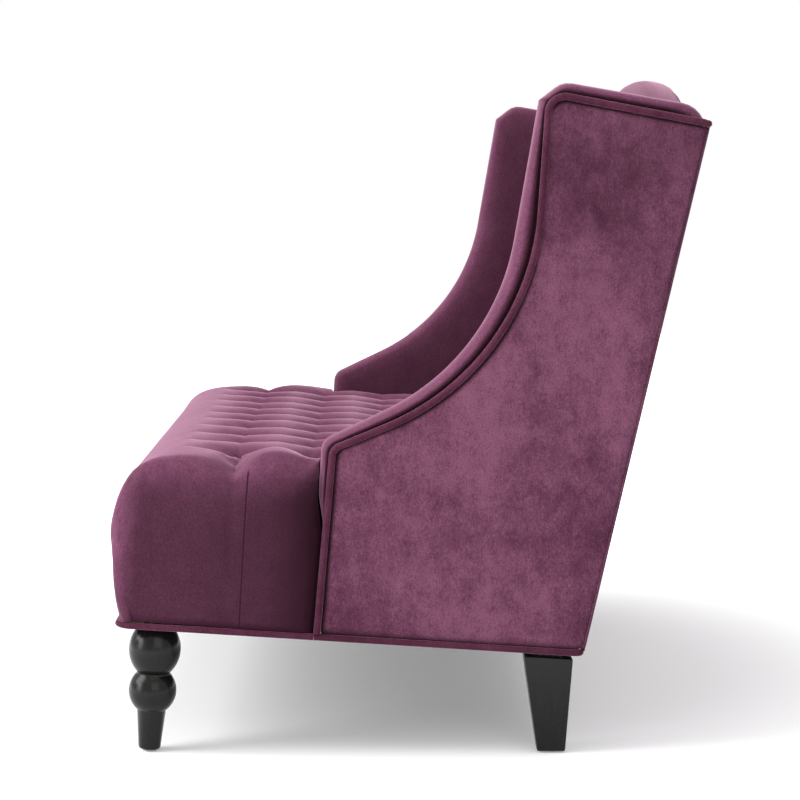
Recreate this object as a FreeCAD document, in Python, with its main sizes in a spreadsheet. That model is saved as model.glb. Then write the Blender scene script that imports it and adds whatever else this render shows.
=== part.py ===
import FreeCAD, Part
import math
import os
import re

import Sketcher
from FreeCAD import Placement, Rotation, Vector

# High back settee: tight tufted seat and back, S-curve wings with a padded edge roll and welt,
# arched crest, turned front legs and square tapered rear legs. Millimetres.
#
# Frame: X across the settee (+X is the sitter's left), -Y is the front, +Z is up, and the origin is
# on the floor below the middle. The upholstered body leans back a little on its legs, so it is
# modelled level in a body frame (y, z) whose z = 0 is the underside, and then tilted as one.

os.makedirs("parts", exist_ok=True)
doc = FreeCAD.newDocument("settee")
sheet = doc.addObject("Spreadsheet::Sheet", "Sizes")

SIZES = {
    # whole body
    "half_width": 591.25,
    "lift": 165,
    "tilt": 3.69,
    "shift_y": -57.43,
    "fit": 0.3,
    # rear line of the back, and the plates of each side from the outside in
    "back_foot_y": 296,
    "back_rake": 9.174,
    "back_panel_thick": 6,
    "side_panel_thick": 7,
    "side_ply_thick": 18,
    "inner_pad_thick": 40,
    "cover_foot": 4.8,
    # S-curve outline of a side, as corners and the radii that round them
    "side_top_rear_z": 743,
    "wing_corner_y": 193,
    "wing_corner_z": 770,
    "wing_corner_round": 22,
    "curve_corner_z": 394,
    "curve_round": 344,
    "arm_corner_y": -71.6,
    "arm_corner_z": 265,
    "arm_corner_round": 15,
    "arm_foot_y": -78,
    # padded edge roll outside that outline
    "roll_rear_z": 769,
    "roll_rear_round": 22,
    "roll_peak_y": 213,
    "roll_peak_z": 787,
    "roll_peak_round": 12,
    "roll_mitre_y": 181,
    "roll_mitre_z": 761,
    "roll_curve_y": 142.7,
    "roll_curve_z": 401,
    "roll_curve_round": 323,
    "roll_arm_y": -88,
    "roll_arm_z": 272,
    "roll_arm_round": 22,
    "roll_foot_z": 150,
    "roll_edge_bevel": 10,
    # welts
    "side_welt_dia": 10.5,
    "base_welt_dia": 9,
    "base_welt_inset": 3.5,
    "front_welt_round": 20,
    "rear_welt_round": 10,
    # wooden frame
    "frame_foot": 1.5,
    "rail_top": 110,
    "board": 25,
    "front_rail_y": -344.7,
    "post_wide": 30,
    "lower_rail_foot": 130,
    "lower_rail_top": 190,
    "top_rail_tall": 35.4,
    "stile_wide": 60,
    "brace_share": 0.508,
    "brace_top": 60,
    "block_leg": 60,
    "block_tall": 42,
    # arched crest: height of its ends and its rise, measured up the rear face
    "arch_end": 744,
    "arch_rise": 83,
    "crest_deep": 70,
    "crest_tall": 40,
    "crest_front_round": 38,
    "crest_rear_bevel": 12,
    # tufting grid
    "tuft_pitch": 105,
    "tuft_margin": 118.75,
    "tuft_columns": 10,
    "tuft_rows": 4,
    "tuft_depth": 14,
    "scallop_steps": 5,
    "button_dia": 24,
    "button_tall": 6,
    "dimple_depth": 25,
    "dimple_half": 17,
    # seat
    "seat_crest": 246,
    "seat_front_crest": 236,
    "seat_side_round": 28,
    "seat_front_foot_y": -356,
    "seat_front_bulge": 13,
    "seat_front_top_y": -366,
    "seat_front_top_z": 178,
    "seat_brow_y": -300,
    "seat_first_row_y": -208,
    "seat_wall": 21.25,
    "pad_foot": 121.8,
    "deck_thick": 6,
    # front face of the back cushion
    "back_face_y": 225,
    "back_face_z": 260,
    "back_face_lean": 14.47,
    "back_first_row": 80,
    "back_heel": 25,
    "back_recess": 15,
    "web_thick": 2,
    "web_wide": 50,
    "web_share": 0.278,
    "deck_gap": 25,
    # springs
    "spring_wire": 3.2,
    "spring_share": 0.339,
    "spring_wave": 22,
    "spring_turns": 11,
    "spring_end": 24,
    "clip_long": 18,
    "clip_wide": 16,
    "clip_thick": 1.5,
    # legs
    "plate_wide": 44,
    "plate_thick": 4.2,
    "glide_thick": 2,
    "glide_dia": 20,
    "stud_dia": 8,
    "stud_long": 36,
    "front_leg_inset": 50.75,
    "front_leg_y": -305,
    "front_leg_tall": 180.2,
    "front_foot_radius": 15.5,
    "lower_ball_z": 87,
    "lower_ball_curve": 36,
    "lower_ball_in": 2.5,
    "upper_ball_z": 146.5,
    "upper_ball_curve": 48.3,
    "upper_ball_in": 11.8,
    "leg_top_radius": 22.7,
    "rear_leg_inset": 45.65,
    "rear_leg_foot": 38,
    "rear_leg_spread": 0.09,
    "rear_leg_front_y": 232,
    "rear_leg_front_lean": -0.1256,
    "rear_leg_rear_y": 271,
    "rear_leg_rear_lean": 0.0572,
    "rear_leg_blank": 175,
    "rear_stud_y": 247.5,
}

for row, (alias, number) in enumerate(SIZES.items(), start=1):
    sheet.set("A%d" % row, alias)
    sheet.set("B%d" % row, str(number))
    sheet.setAlias("B%d" % row, alias)
doc.recompute()


def size(text):
    """The value of a formula in the sheet's names."""
    return float(sheet.evalExpression(text))


def bind(thing, prop, text):
    """Bind a property to a formula in the sheet's names."""
    linked = re.sub(r"[a-z_]+[a-z0-9_]*", lambda m: ("Sizes." if m[0] in SIZES else "") + m[0], text)
    thing.setExpression(prop, linked)


# Formulas used by several pieces.
PANEL_FACE = "(half_width - side_welt_dia / 2)"
PLY_OUT = "(%s - side_panel_thick - fit)" % PANEL_FACE
PLY_IN = "(%s - side_ply_thick)" % PLY_OUT
PAD_OUT = "(%s - fit)" % PLY_IN
PAD_IN = "(%s - inner_pad_thick)" % PAD_OUT
ROLL_OUT = "(%s - side_welt_dia / 2 - fit)" % PANEL_FACE
CUSHION_HALF = "(%s - fit)" % PAD_IN
SKIN = "(back_panel_thick + fit)"
TUFT_EDGE = "(half_width - tuft_margin)"
SEAT_CAVITY = "(half_width - seat_wall)"
SEAT_CAVITY_Y = "(front_rail_y - fit)"
TOP_RAIL_FOOT = "((arch_end - crest_tall - top_rail_tall) * cos(back_rake))"
FRONT_LEG_X = "(half_width - front_leg_inset)"
REAR_LEG_X = "(half_width - rear_leg_inset)"

# A length greater than the settee in any direction, for cutting shapes.
REACH = "(3 * half_width)"


def rear(height, inset="0"):
    """Formula for the rear line's y at a height, moved forward by an inset."""
    return "(back_foot_y + tan(back_rake) * (%s) - (%s))" % (height, inset)


def tilted(piece, start="0", front="0", up="0"):
    """Place a piece that was modelled in the body frame, moved first by (start, front, up)."""
    bind(piece, "Placement.Base.x", start)
    bind(piece, "Placement.Base.y", "shift_y + (%s) * cos(tilt) + (%s) * sin(tilt)" % (front, up))
    bind(piece, "Placement.Base.z", "lift - (%s) * sin(tilt) + (%s) * cos(tilt)" % (front, up))
    piece.Placement.Rotation = Rotation(Vector(1, 0, 0), -size("tilt"))
    bind(piece, "Placement.Rotation.Angle", "0 - tilt")
    return piece


def body_frame():
    """The same placement for shapes that are set by Part functions."""
    return Placement(Vector(0, size("shift_y"), size("lift")), Rotation(Vector(1, 0, 0), -size("tilt")))


def set_shape(label, shape, placed=True):
    """A piece whose shape comes from Part functions that read the sheet."""
    piece = doc.addObject("Part::Feature", label)
    piece.Shape = shape
    if placed:
        piece.Placement = body_frame().multiply(shape.Placement)
    return piece


def origin_plane(body, role):
    """One of a body's own origin planes."""
    return [f for f in body.Origin.OriginFeatures if f.Role == role][0]


def sketch_polygon(body, name, role, corners, offset="0"):
    """A closed polygon in a sketch, each corner bound to two formulas."""
    sketch = body.newObject("Sketcher::SketchObject", name)
    sketch.AttachmentSupport = [(origin_plane(body, role), "")]
    sketch.MapMode = "FlatFace"
    bind(sketch, "AttachmentOffset.Base.z", offset)
    points = [Vector(size(a), size(b), 0) for a, b in corners]
    count = len(points)
    for i in range(count):
        sketch.addGeometry(Part.LineSegment(points[i], points[(i + 1) % count]), False)
    for i in range(count):
        sketch.addConstraint(Sketcher.Constraint("Coincident", i, 2, (i + 1) % count, 1))
    for i, (across, along) in enumerate(corners):
        pin_point(sketch, i, 1, across, along)
    return sketch


def pin_point(sketch, geometry, end, across, along):
    """Bind one point of a sketch to two formulas, measured from its origin."""
    for kind, text in (("DistanceX", across), ("DistanceY", along)):
        number = sketch.addConstraint(Sketcher.Constraint(kind, -1, 1, geometry, end, size(text)))
        bind(sketch, "Constraints[%d]" % number, text)


def board(label, corners, start, length):
    """A board: a polygon of the (y, z) plane, padded along X from start."""
    body = doc.addObject("PartDesign::Body", label)
    sketch = sketch_polygon(body, label + "_outline", "YZ_Plane", corners, start)
    pad = body.newObject("PartDesign::Pad", label + "_pad")
    pad.Profile = sketch
    bind(pad, "Length", length)
    return body


def box(label, low, high):
    """A block between two corners given as formulas."""
    block = doc.addObject("Part::Box", label)
    for prop, a, b in zip(("Length", "Width", "Height"), low, high):
        bind(block, prop, "(%s) - (%s)" % (b, a))
    for axis, a in zip("xyz", low):
        bind(block, "Placement.Base." + axis, a)
    return block


def cut(label, base, tools):
    """Base minus tools."""
    piece = doc.addObject("Part::Cut", label)
    piece.Base = base
    piece.Tool = tools[0] if len(tools) == 1 else group(label + "_tools", tools)
    return piece


def common(label, shapes):
    """What all the shapes share."""
    piece = doc.addObject("Part::MultiCommon", label)
    piece.Shapes = shapes
    return piece


def group(label, pieces):
    """Several separate solids in one piece."""
    whole = doc.addObject("Part::Compound", label)
    whole.Links = pieces
    return whole


def extruded(label, outline, direction, length):
    """A flat outline extruded along a direction."""
    piece = doc.addObject("Part::Extrusion", label)
    piece.Base = outline
    piece.DirMode = "Custom"
    piece.Dir = direction
    piece.Solid = True
    bind(piece, "LengthFwd", length)
    return piece


def mirrored(piece, label):
    """The sitter's right-hand copy of a left-hand piece."""
    copy = doc.addObject("Part::Mirroring", label)
    copy.Source = piece
    copy.Normal = Vector(1, 0, 0)
    return copy


def rounded_edges(corners):
    """Edges through (y, z, radius) corners in the x = 0 plane, with an arc in each rounded corner.

    The first and last corner are ends, so that the chain can stay open."""
    points = [Vector(0, y, z) for y, z, _ in corners]
    edges = []
    last = points[0]
    for i in range(1, len(points) - 1):
        radius = corners[i][2]
        back = (points[i - 1] - points[i]).normalize()
        ahead = (points[i + 1] - points[i]).normalize()
        if radius == 0:
            edges.append(Part.makeLine(last, points[i]))
            last = points[i]
            continue
        half = back.getAngle(ahead) / 2
        reach = radius / math.tan(half)
        middle = (back + ahead).normalize()
        centre = points[i] + middle * (radius / math.sin(half))
        first = points[i] + back * reach
        second = points[i] + ahead * reach
        edges.append(Part.makeLine(last, first))
        edges.append(Part.Arc(first, centre - middle * radius, second).toShape())
        last = second
    edges.append(Part.makeLine(last, points[-1]))
    return edges


# Side outlines

def side_chain(rear_inset, foot):
    """S-curve outline of a side from its rear top corner down to its front foot."""
    top_z = size("side_top_rear_z")
    top_slope = (size("wing_corner_z") - top_z) / (size(rear(top_z)) - size("wing_corner_y"))
    rear_y = size(rear(top_z, rear_inset))
    rear_z = top_z + top_slope * (size(rear(top_z)) - rear_y)
    slope = (size("arm_corner_y") - size("arm_foot_y")) / size("arm_corner_z")
    return [
        (rear_y, rear_z, 0),
        (size("wing_corner_y"), size("wing_corner_z"), size("wing_corner_round")),
        (size("wing_corner_y"), size("curve_corner_z"), size("curve_round")),
        (size("arm_corner_y"), size("arm_corner_z"), size("arm_corner_round")),
        (size("arm_foot_y") + slope * foot, foot, 0),
    ]


def side_face(inset, rear_inset, foot):
    """The side's outline as a face, drawn in by an inset everywhere but at the rear and the foot."""
    chain = side_chain("%s - %f" % (rear_inset, inset * 1.02), size(foot) - inset)
    edges = rounded_edges(chain)
    rear_foot = Vector(0, size(rear(foot, rear_inset)) + inset * 1.02, size(foot) - inset)
    edges.append(Part.makeLine(edges[-1].lastVertex().Point, rear_foot))
    edges.append(Part.makeLine(rear_foot, edges[0].firstVertex().Point))
    face = Part.Face(Part.Wire(Part.__sortEdges__(edges)))
    return face.makeOffset2D(-inset, 2, False, False) if inset else face


def side_plate(label, inset, rear_inset, foot, outer, thick):
    """A flat plate of one side: its outline, extruded inwards from its outer face."""
    outline = set_shape(label + "_outline", side_face(inset, rear_inset, foot), placed=False)
    plate = extruded(label, outline, Vector(-1, 0, 0), thick)
    return tilted(plate, start=outer)


pieces = []


def keep(*made):
    pieces.extend(made)


def keep_pair(piece, label):
    """Keep a left-hand piece and its mirrored right-hand copy."""
    keep(piece, mirrored(piece, label))


fit = size("fit")
welt_gap = size("side_welt_dia / 2 + fit")
panel = side_plate("outside_panel_left", welt_gap, SKIN, "cover_foot", PANEL_FACE, "side_panel_thick")
keep_pair(panel, "outside_panel_right")
ply = side_plate("side_frame_left", fit, SKIN, "cover_foot", PLY_OUT, "side_ply_thick")
keep_pair(ply, "side_frame_right")
POST_FRONT = "(%s + board + fit)" % SKIN
pad = side_plate("inner_pad_left", fit, POST_FRONT, "rail_top + fit", PAD_OUT, "inner_pad_thick")
keep_pair(pad, "inner_pad_right")


# Edge roll: the ring between the side's outline and the silhouette, with its two long edges bevelled

def edge_roll():
    rear_y = size(rear("side_top_rear_z", SKIN))
    foot = size("roll_foot_z")
    outer = rounded_edges([
        (rear_y, size("side_top_rear_z - 20"), 0),
        (rear_y, size("roll_rear_z"), size("roll_rear_round")),
        (size("roll_peak_y"), size("roll_peak_z"), size("roll_peak_round")),
        (size("roll_mitre_y"), size("roll_mitre_z"), 0),
        (size("roll_curve_y"), size("roll_curve_z"), size("roll_curve_round")),
        (size("roll_arm_y"), size("roll_arm_z"), size("roll_arm_round")),
        (size("roll_arm_y"), foot, 0),
    ])
    high = size("side_top_rear_z - 20")
    inside = [Vector(0, size("roll_arm_y"), foot), Vector(0, 0, foot), Vector(0, rear_y - 40, high),
              Vector(0, rear_y, high)]
    closing = [Part.makeLine(a, b) for a, b in zip(inside, inside[1:])]
    whole = Part.Face(Part.Wire(Part.__sortEdges__(outer + closing)))
    ring = max(whole.cut(side_face(0, SKIN, "cover_foot")).Faces, key=lambda face: face.Area)
    low = size(PAD_IN)
    thick = size(ROLL_OUT) - low
    solid = ring.extrude(Vector(thick, 0, 0))
    solid.translate(Vector(low, 0, 0))
    crown = Part.Wire(outer[1:])
    long_edges = []
    for edge in solid.Edges:
        middle = edge.valueAt((edge.FirstParameter + edge.LastParameter) / 2)
        across = edge.BoundBox.XLength
        level = Part.Vertex(Vector(0, middle.y, middle.z))
        if across < 1 and level.distToShape(crown)[0] < 0.01:
            long_edges.append(edge)
    return solid.makeChamfer(size("roll_edge_bevel"), long_edges)


roll = set_shape("edge_roll_left", edge_roll())
keep_pair(roll, "edge_roll_right")


# Welts

def cord(edges, radius):
    """An eight-sided cord swept along a chain of edges, in short straight lengths."""
    points = [edges[0].firstVertex().Point]
    for edge in edges:
        steps = 1 if isinstance(edge.Curve, Part.Line) else 2 + int(edge.Length / 20)
        run = edge.discretize(steps + 1)
        if run[0].distanceToPoint(points[-1]) > 0.01:
            run.reverse()
        points += run[1:]
    ahead = (points[1] - points[0]).normalize()
    side = ahead.cross(Vector(1, 0, 0) if abs(ahead.x) < 0.5 else Vector(0, 0, 1)).normalize()
    up = ahead.cross(side)
    turns = [math.radians(45 * k + 22.5) for k in range(9)]
    ring = Part.makePolygon([points[0] + (side * math.cos(a) + up * math.sin(a)) * radius for a in turns])
    return Part.makePolygon(points).makePipeShell([ring], True, False, 1)


side_path = rounded_edges(side_chain(SKIN, size("cover_foot")))
side_welt = cord(side_path, size("side_welt_dia / 2"))
side_welt.translate(Vector(size(PANEL_FACE), 0, 0))
keep_pair(set_shape("side_welt_left", side_welt), "side_welt_right")


def base_welt(end_y, far_y, radius):
    """A U-shaped cord along the bottom edge, round the two corners at far_y."""
    across = size(PANEL_FACE + " - base_welt_inset")
    turn = math.copysign(radius, end_y - far_y)
    middle = radius * (1 - math.sqrt(0.5))
    half_turn_y = far_y + turn * (1 - math.sqrt(0.5))
    half = [
        Part.makeLine(Vector(across, end_y, 0), Vector(across, far_y + turn, 0)),
        Part.Arc(Vector(across, far_y + turn, 0), Vector(across - middle, half_turn_y, 0),
                 Vector(across - radius, far_y, 0)).toShape(),
        Part.makeLine(Vector(across - radius, far_y, 0), Vector(radius - across, far_y, 0)),
        Part.Arc(Vector(radius - across, far_y, 0), Vector(middle - across, half_turn_y, 0),
                 Vector(-across, far_y + turn, 0)).toShape(),
        Part.makeLine(Vector(-across, far_y + turn, 0), Vector(-across, end_y, 0)),
    ]
    return cord(half, size("base_welt_dia / 2"))


join_y = size("arm_foot_y - side_welt_dia / 2 - fit")
front_y = size("seat_front_foot_y")
rear_y = size(rear("0", "base_welt_dia / 2"))
keep(set_shape("bottom_welt_front", base_welt(join_y - 1, front_y, size("front_welt_round"))))
keep(set_shape("bottom_welt_rear", base_welt(join_y + 1, rear_y, size("rear_welt_round"))))


# Wooden frame

FRAME_X = PAD_OUT
RAIL_BACK = "(front_rail_y + board)"
SIDE_RAIL_END = rear("frame_foot", SKIN + " + board + fit")


def rectangle(y0, z0, y1, z1):
    return [(y0, z0), (y1, z0), (y1, z1), (y0, z1)]


def raked(z0, z1, inset, thick):
    """A board's section that follows the rear line, its rear face moved forward by an inset."""
    near = "%s + %s" % (inset, thick)
    return [(rear(z0, near), z0), (rear(z0, inset), z0), (rear(z1, inset), z1), (rear(z1, near), z1)]


cavity_half = "(%s - fit)" % SEAT_CAVITY
front_rail = board("front_rail", rectangle("front_rail_y", "frame_foot", RAIL_BACK, "rail_top"),
                   "0 - " + cavity_half, "2 * " + cavity_half)
back_rail = board("back_rail", raked("cover_foot", "rail_top", SKIN, "board"), "0 - " + FRAME_X,
                  "2 * " + FRAME_X)
RAIL_FRONT = RAIL_BACK + " + fit"
BOARD_FACE = SKIN + " + board + fit"
rail_section = [(RAIL_FRONT, "frame_foot"), (rear("frame_foot", BOARD_FACE), "frame_foot"),
                (rear("rail_top", BOARD_FACE), "rail_top"), (RAIL_FRONT, "rail_top")]
side_rail = board("seat_rail_left", rail_section, FRAME_X + " - board", "board")
brace_section = [(RAIL_FRONT, "frame_foot"), (rear("frame_foot", BOARD_FACE), "frame_foot"),
                 (rear("brace_top", BOARD_FACE), "brace_top"), (RAIL_FRONT, "brace_top")]
brace = board("seat_brace_left", brace_section, "half_width * brace_share - board / 2", "board")
post = board("back_post_left", raked("rail_top + fit", TOP_RAIL_FOOT + " - fit", SKIN, "board"),
             FRAME_X + " - post_wide", "post_wide")
BETWEEN_POSTS = "(%s - post_wide - fit)" % FRAME_X
lower_rail = board("back_lower_rail", raked("lower_rail_foot", "lower_rail_top", SKIN, "board"),
                   "0 - " + BETWEEN_POSTS, "2 * " + BETWEEN_POSTS)
stile = board("back_stile", raked("lower_rail_top + fit", TOP_RAIL_FOOT + " - fit", SKIN, "board"),
              "0 - stile_wide / 2", "stile_wide")
for piece in (front_rail, back_rail, lower_rail, stile):
    keep(tilted(piece))
for piece in (side_rail, brace, post):
    tilted(piece)
    keep_pair(piece, piece.Label.replace("left", "right"))


def corner_block(across, along, turn_x, turn_y):
    """A triangular block in an inside corner of the rails."""
    leg = size("block_leg")
    corner = Vector(across, along, size("frame_foot + fit"))
    far = corner + Vector(turn_x * leg, 0, 0)
    side = corner + Vector(0, turn_y * leg, 0)
    face = Part.Face(Part.makePolygon([corner, far, side, corner]))
    return face.extrude(Vector(0, 0, size("block_tall")))


inside_x = size(FRAME_X + " - board - fit")
front_corner = size(RAIL_BACK + " + fit")
rear_corner = size(SIDE_RAIL_END)
blocks = [corner_block(s * inside_x, y, -s, turn)
          for s in (1, -1) for y, turn in ((front_corner, 1), (rear_corner, -1))]
keep(set_shape("corner_blocks", Part.makeCompound(blocks)))


# Arched crest: two arcs a side, met at the same slope, in the plane of the rear face

def arch_face(inset, foot):
    """The back seen square on, from a foot height up to the arch lowered by an inset."""
    half = size(PANEL_FACE)
    rise = size("arch_rise") / 2
    span = half / 2
    radius = (span ** 2 + rise ** 2) / (2 * rise)
    low = size("arch_end")
    top_centre = low + 2 * rise - radius
    side_centre = low + radius
    steep = math.asin(span / radius)

    def on_top(angle):
        r = radius - inset
        return Vector(r * math.sin(angle), 0, top_centre + r * math.cos(angle))

    def on_side(angle, sign):
        r = radius + inset
        return Vector(sign * (half - r * math.sin(angle)), 0, side_centre - r * math.cos(angle))

    edges = [
        Part.Arc(on_side(0, -1), on_side(steep / 2, -1), on_side(steep, -1)).toShape(),
        Part.Arc(on_top(-steep), on_top(0), on_top(steep)).toShape(),
        Part.Arc(on_side(steep, 1), on_side(steep / 2, 1), on_side(0, 1)).toShape(),
        Part.makeLine(on_side(0, 1), Vector(half, 0, foot)),
        Part.makeLine(Vector(half, 0, foot), Vector(-half, 0, foot)),
        Part.makeLine(Vector(-half, 0, foot), on_side(0, -1)),
    ]
    return Part.Face(Part.Wire(Part.__sortEdges__(edges)))


def arched_board(label, inset, foot, near, thick, half):
    """An upright board of the back under the arch, its rear face near behind the rear line."""
    outline = set_shape(label + "_outline", arch_face(size(inset), size(foot)), placed=False)
    blank = extruded(label + "_blank", outline, Vector(0, -1, 0), thick)
    bind(blank, "Placement.Base.y", "0 - (%s)" % near)
    limit = box(label + "_limit", ("0 - " + half, "0 - " + REACH, "0"), (half, REACH, REACH))
    return common(label, [blank, limit])


def leaned(piece):
    """Place a piece that was modelled square to the rear face."""
    bind(piece, "Placement.Base.y", "shift_y + back_foot_y * cos(tilt)")
    bind(piece, "Placement.Base.z", "lift - back_foot_y * sin(tilt)")
    piece.Placement.Rotation = Rotation(Vector(1, 0, 0), -size("tilt + back_rake"))
    bind(piece, "Placement.Rotation.Angle", "0 - tilt - back_rake")
    return piece


back_cover = arched_board("outside_back_panel", "crest_rear_bevel + 2", "cover_foot + 1", "0",
                          "back_panel_thick - fit / 2", PANEL_FACE)
keep(leaned(back_cover))
top_rail = arched_board("top_rail", "crest_tall + fit", "arch_end - crest_tall - top_rail_tall + fit", SKIN,
                        "board - fit", PAD_OUT)
keep(leaned(top_rail))


# Crest roll: the arch's top strip, rounded at its front and rear edges

def crest_roll():
    half = size(CUSHION_HALF)
    tall = size("crest_tall")
    deep = size("crest_deep")
    strip = arch_face(0, 0).cut(arch_face(tall, -1))
    reach = size(REACH)
    limit = Part.makeBox(2 * half, 2 * deep, reach, Vector(-half, -deep * 1.5, size("arch_end / 2")))
    block = strip.extrude(Vector(0, -deep, 0)).common(limit)
    near = size(SKIN)
    block.translate(Vector(0, -near, 0))

    def top_edges(solid, y):
        found = []
        for edge in solid.Edges:
            flat = edge.BoundBox.YLength < 0.1 and abs(edge.BoundBox.YMin - y) < 0.1
            middle = edge.valueAt((edge.FirstParameter + edge.LastParameter) / 2)
            top = Part.Vertex(Vector(middle.x, 0, middle.z)).distToShape(arch_face(0, 0).OuterWire)[0] < 0.1
            if flat and top and edge.BoundBox.XLength > 30:
                found.append(edge)
        return found

    block = block.Solids[0]
    block = block.makeFillet(size("crest_front_round"), top_edges(block, -near - deep))
    return block.makeChamfer(size("crest_rear_bevel"), top_edges(block, -near))


crest = doc.addObject("Part::Feature", "crest_roll")
crest.Shape = crest_roll()
keep(leaned(crest))


# Tufted cushions: what two scalloped prisms at right angles share, less a dimple at each button

def bent(first, middle, last):
    """An arc through three points, as a few straight lengths."""
    points = Part.Arc(first, middle, last).toShape().discretize(int(size("scallop_steps")) + 1)
    return [Part.makeLine(a, b) for a, b in zip(points, points[1:])]


def scallops(at, valleys, crest, valley):
    """Arcs from valley to valley; at(along, up) gives the point."""
    edges = []
    for a, b in zip(valleys, valleys[1:]):
        edges += bent(at(a, valley), at((a + b) / 2, crest), at(b, valley))
    return edges


def closed_face(edges, others):
    """A face from a chain of edges closed through other points."""
    chain = [edges[-1].lastVertex().Point] + others + [edges[0].firstVertex().Point]
    lines = [Part.makeLine(a, b) for a, b in zip(chain, chain[1:])]
    return Part.Face(Part.Wire(Part.__sortEdges__(edges + lines)))


def spaced(first, pitch, count):
    return [first + i * size(pitch) for i in range(int(size(count)))]


columns = spaced(-size(TUFT_EDGE), "2 * %s / (tuft_columns - 1)" % TUFT_EDGE, "tuft_columns")
seat_rows = spaced(size("seat_first_row_y"), "tuft_pitch", "tuft_rows")
depth = size("tuft_depth")
seat_top = size("seat_crest")
cover_foot = size("cover_foot")
panel_x = size(PANEL_FACE)
lean = math.radians(size("back_face_lean"))


def on_back(along, out, across=0):
    """A point given along the back's front face, and out from it."""
    return Vector(across, size("back_face_y") + along * math.sin(lean) - out * math.cos(lean),
                  size("back_face_z") + along * math.cos(lean) + out * math.sin(lean))


def seat_across_face():
    """Section of the seat across the settee: scallops between two rounded shoulders."""

    def at(x, z):
        return Vector(x, 0, z)

    radius = size("seat_side_round")
    knee = panel_x - radius
    brow = seat_top - 8
    bend = radius * math.sqrt(0.5)
    middle_x = (columns[-1] + knee) / 2
    edges = bent(at(-panel_x, brow - radius), at(-knee - bend, brow - radius + bend), at(-knee, brow))
    edges += bent(at(-knee, brow), at(-middle_x, seat_top), at(columns[0], seat_top - depth))
    edges += scallops(at, columns, seat_top, seat_top - depth)
    edges += bent(at(columns[-1], seat_top - depth), at(middle_x, seat_top), at(knee, brow))
    edges += bent(at(knee, brow), at(knee + bend, brow - radius + bend), at(panel_x, brow - radius))
    return closed_face(edges, [at(panel_x, cover_foot), at(-panel_x, cover_foot)])


def seat_along_face():
    """Section of the seat from front to rear: bulged front, brow, scalloped rows, raked rear."""

    def at(y, z):
        return Vector(0, y, z)

    front_top = at(size("seat_front_top_y"), size("seat_front_top_z"))
    foot = at(size("seat_front_foot_y"), cover_foot)
    bulge = at(size("seat_front_foot_y - seat_front_bulge"), size("seat_front_top_z * 0.6"))
    brow = at(size("seat_brow_y"), size("seat_front_crest"))
    valley = seat_top - depth
    rear_plane = -size("back_recess") + fit
    plane_rise = size("back_face_z") + rear_plane * math.sin(lean)
    heel = on_back((valley - plane_rise) / math.cos(lean), rear_plane)
    rear_foot = on_back((cover_foot - plane_rise) / math.cos(lean), rear_plane)
    bend = at(size("seat_front_top_y * 0.72 + seat_brow_y * 0.28"), size("seat_front_crest - 18"))
    edges = bent(foot, bulge, front_top)
    edges += bent(front_top, bend, brow)
    dip = at(size("seat_brow_y * 0.45 + seat_first_row_y * 0.55"), size("seat_front_crest - 2"))
    edges += bent(brow, dip, at(seat_rows[0], valley - 6))
    edges += bent(at(seat_rows[0], valley - 6), at((seat_rows[0] + seat_rows[1]) / 2, seat_top),
                  at(seat_rows[1], valley))
    edges += scallops(at, seat_rows[1:], seat_top, valley)
    edges += bent(at(seat_rows[-1], valley), at((seat_rows[-1] + heel.y) / 2, seat_top), heel)
    return closed_face(edges, [rear_foot])


def dimple(at, turn):
    """A square hollow that narrows down to a button, with its axis along local z."""
    half = size("dimple_half")
    seat = size("button_dia / 2 + fit")
    low = -size("dimple_depth")

    def square(reach, z):
        points = [Vector(reach * a, reach * b, z) for a, b in ((1, 1), (-1, 1), (-1, -1), (1, -1), (1, 1))]
        return Part.makePolygon(points)

    shape = Part.makeLoft([square(seat, low), square(half, 0), square(half, 20)], True, True)
    shape.Placement = Placement(at, turn)
    return shape


def button(at, turn):
    """A covered button standing on a dimple's floor."""
    radius = size("button_dia / 2")
    foot = -size("dimple_depth - fit")

    def ring(reach, z):
        turns = [math.radians(60 * k) for k in range(7)]
        return Part.makePolygon([Vector(reach * math.cos(a), reach * math.sin(a), z) for a in turns])

    shape = Part.makeLoft([ring(radius, foot), ring(radius * 0.7, foot + size("button_tall"))], True, True)
    shape.Placement = Placement(at, turn)
    return shape


flat = Rotation()
sloped = Rotation(Vector(1, 0, 0), 90 - size("back_face_lean"))
seat_spots = [(Vector(x, y, seat_top), flat) for x in columns for y in seat_rows]
back_rows = spaced(size("back_first_row"), "tuft_pitch", "tuft_rows")
back_spots = [(on_back(v, 0, x), sloped) for x in columns for v in back_rows]

across_face = set_shape("seat_across_face", seat_across_face(), False)
seat_across = extruded("seat_across", across_face, Vector(0, 1, 0), REACH)
bind(seat_across, "Placement.Base.y", "0 - %s / 2" % REACH)
along_face = set_shape("seat_along_face", seat_along_face(), False)
seat_along = extruded("seat_along", along_face, Vector(1, 0, 0), REACH)
bind(seat_along, "Placement.Base.x", "0 - %s / 2" % REACH)
seat_block = common("seat_block", [seat_across, seat_along])

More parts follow.
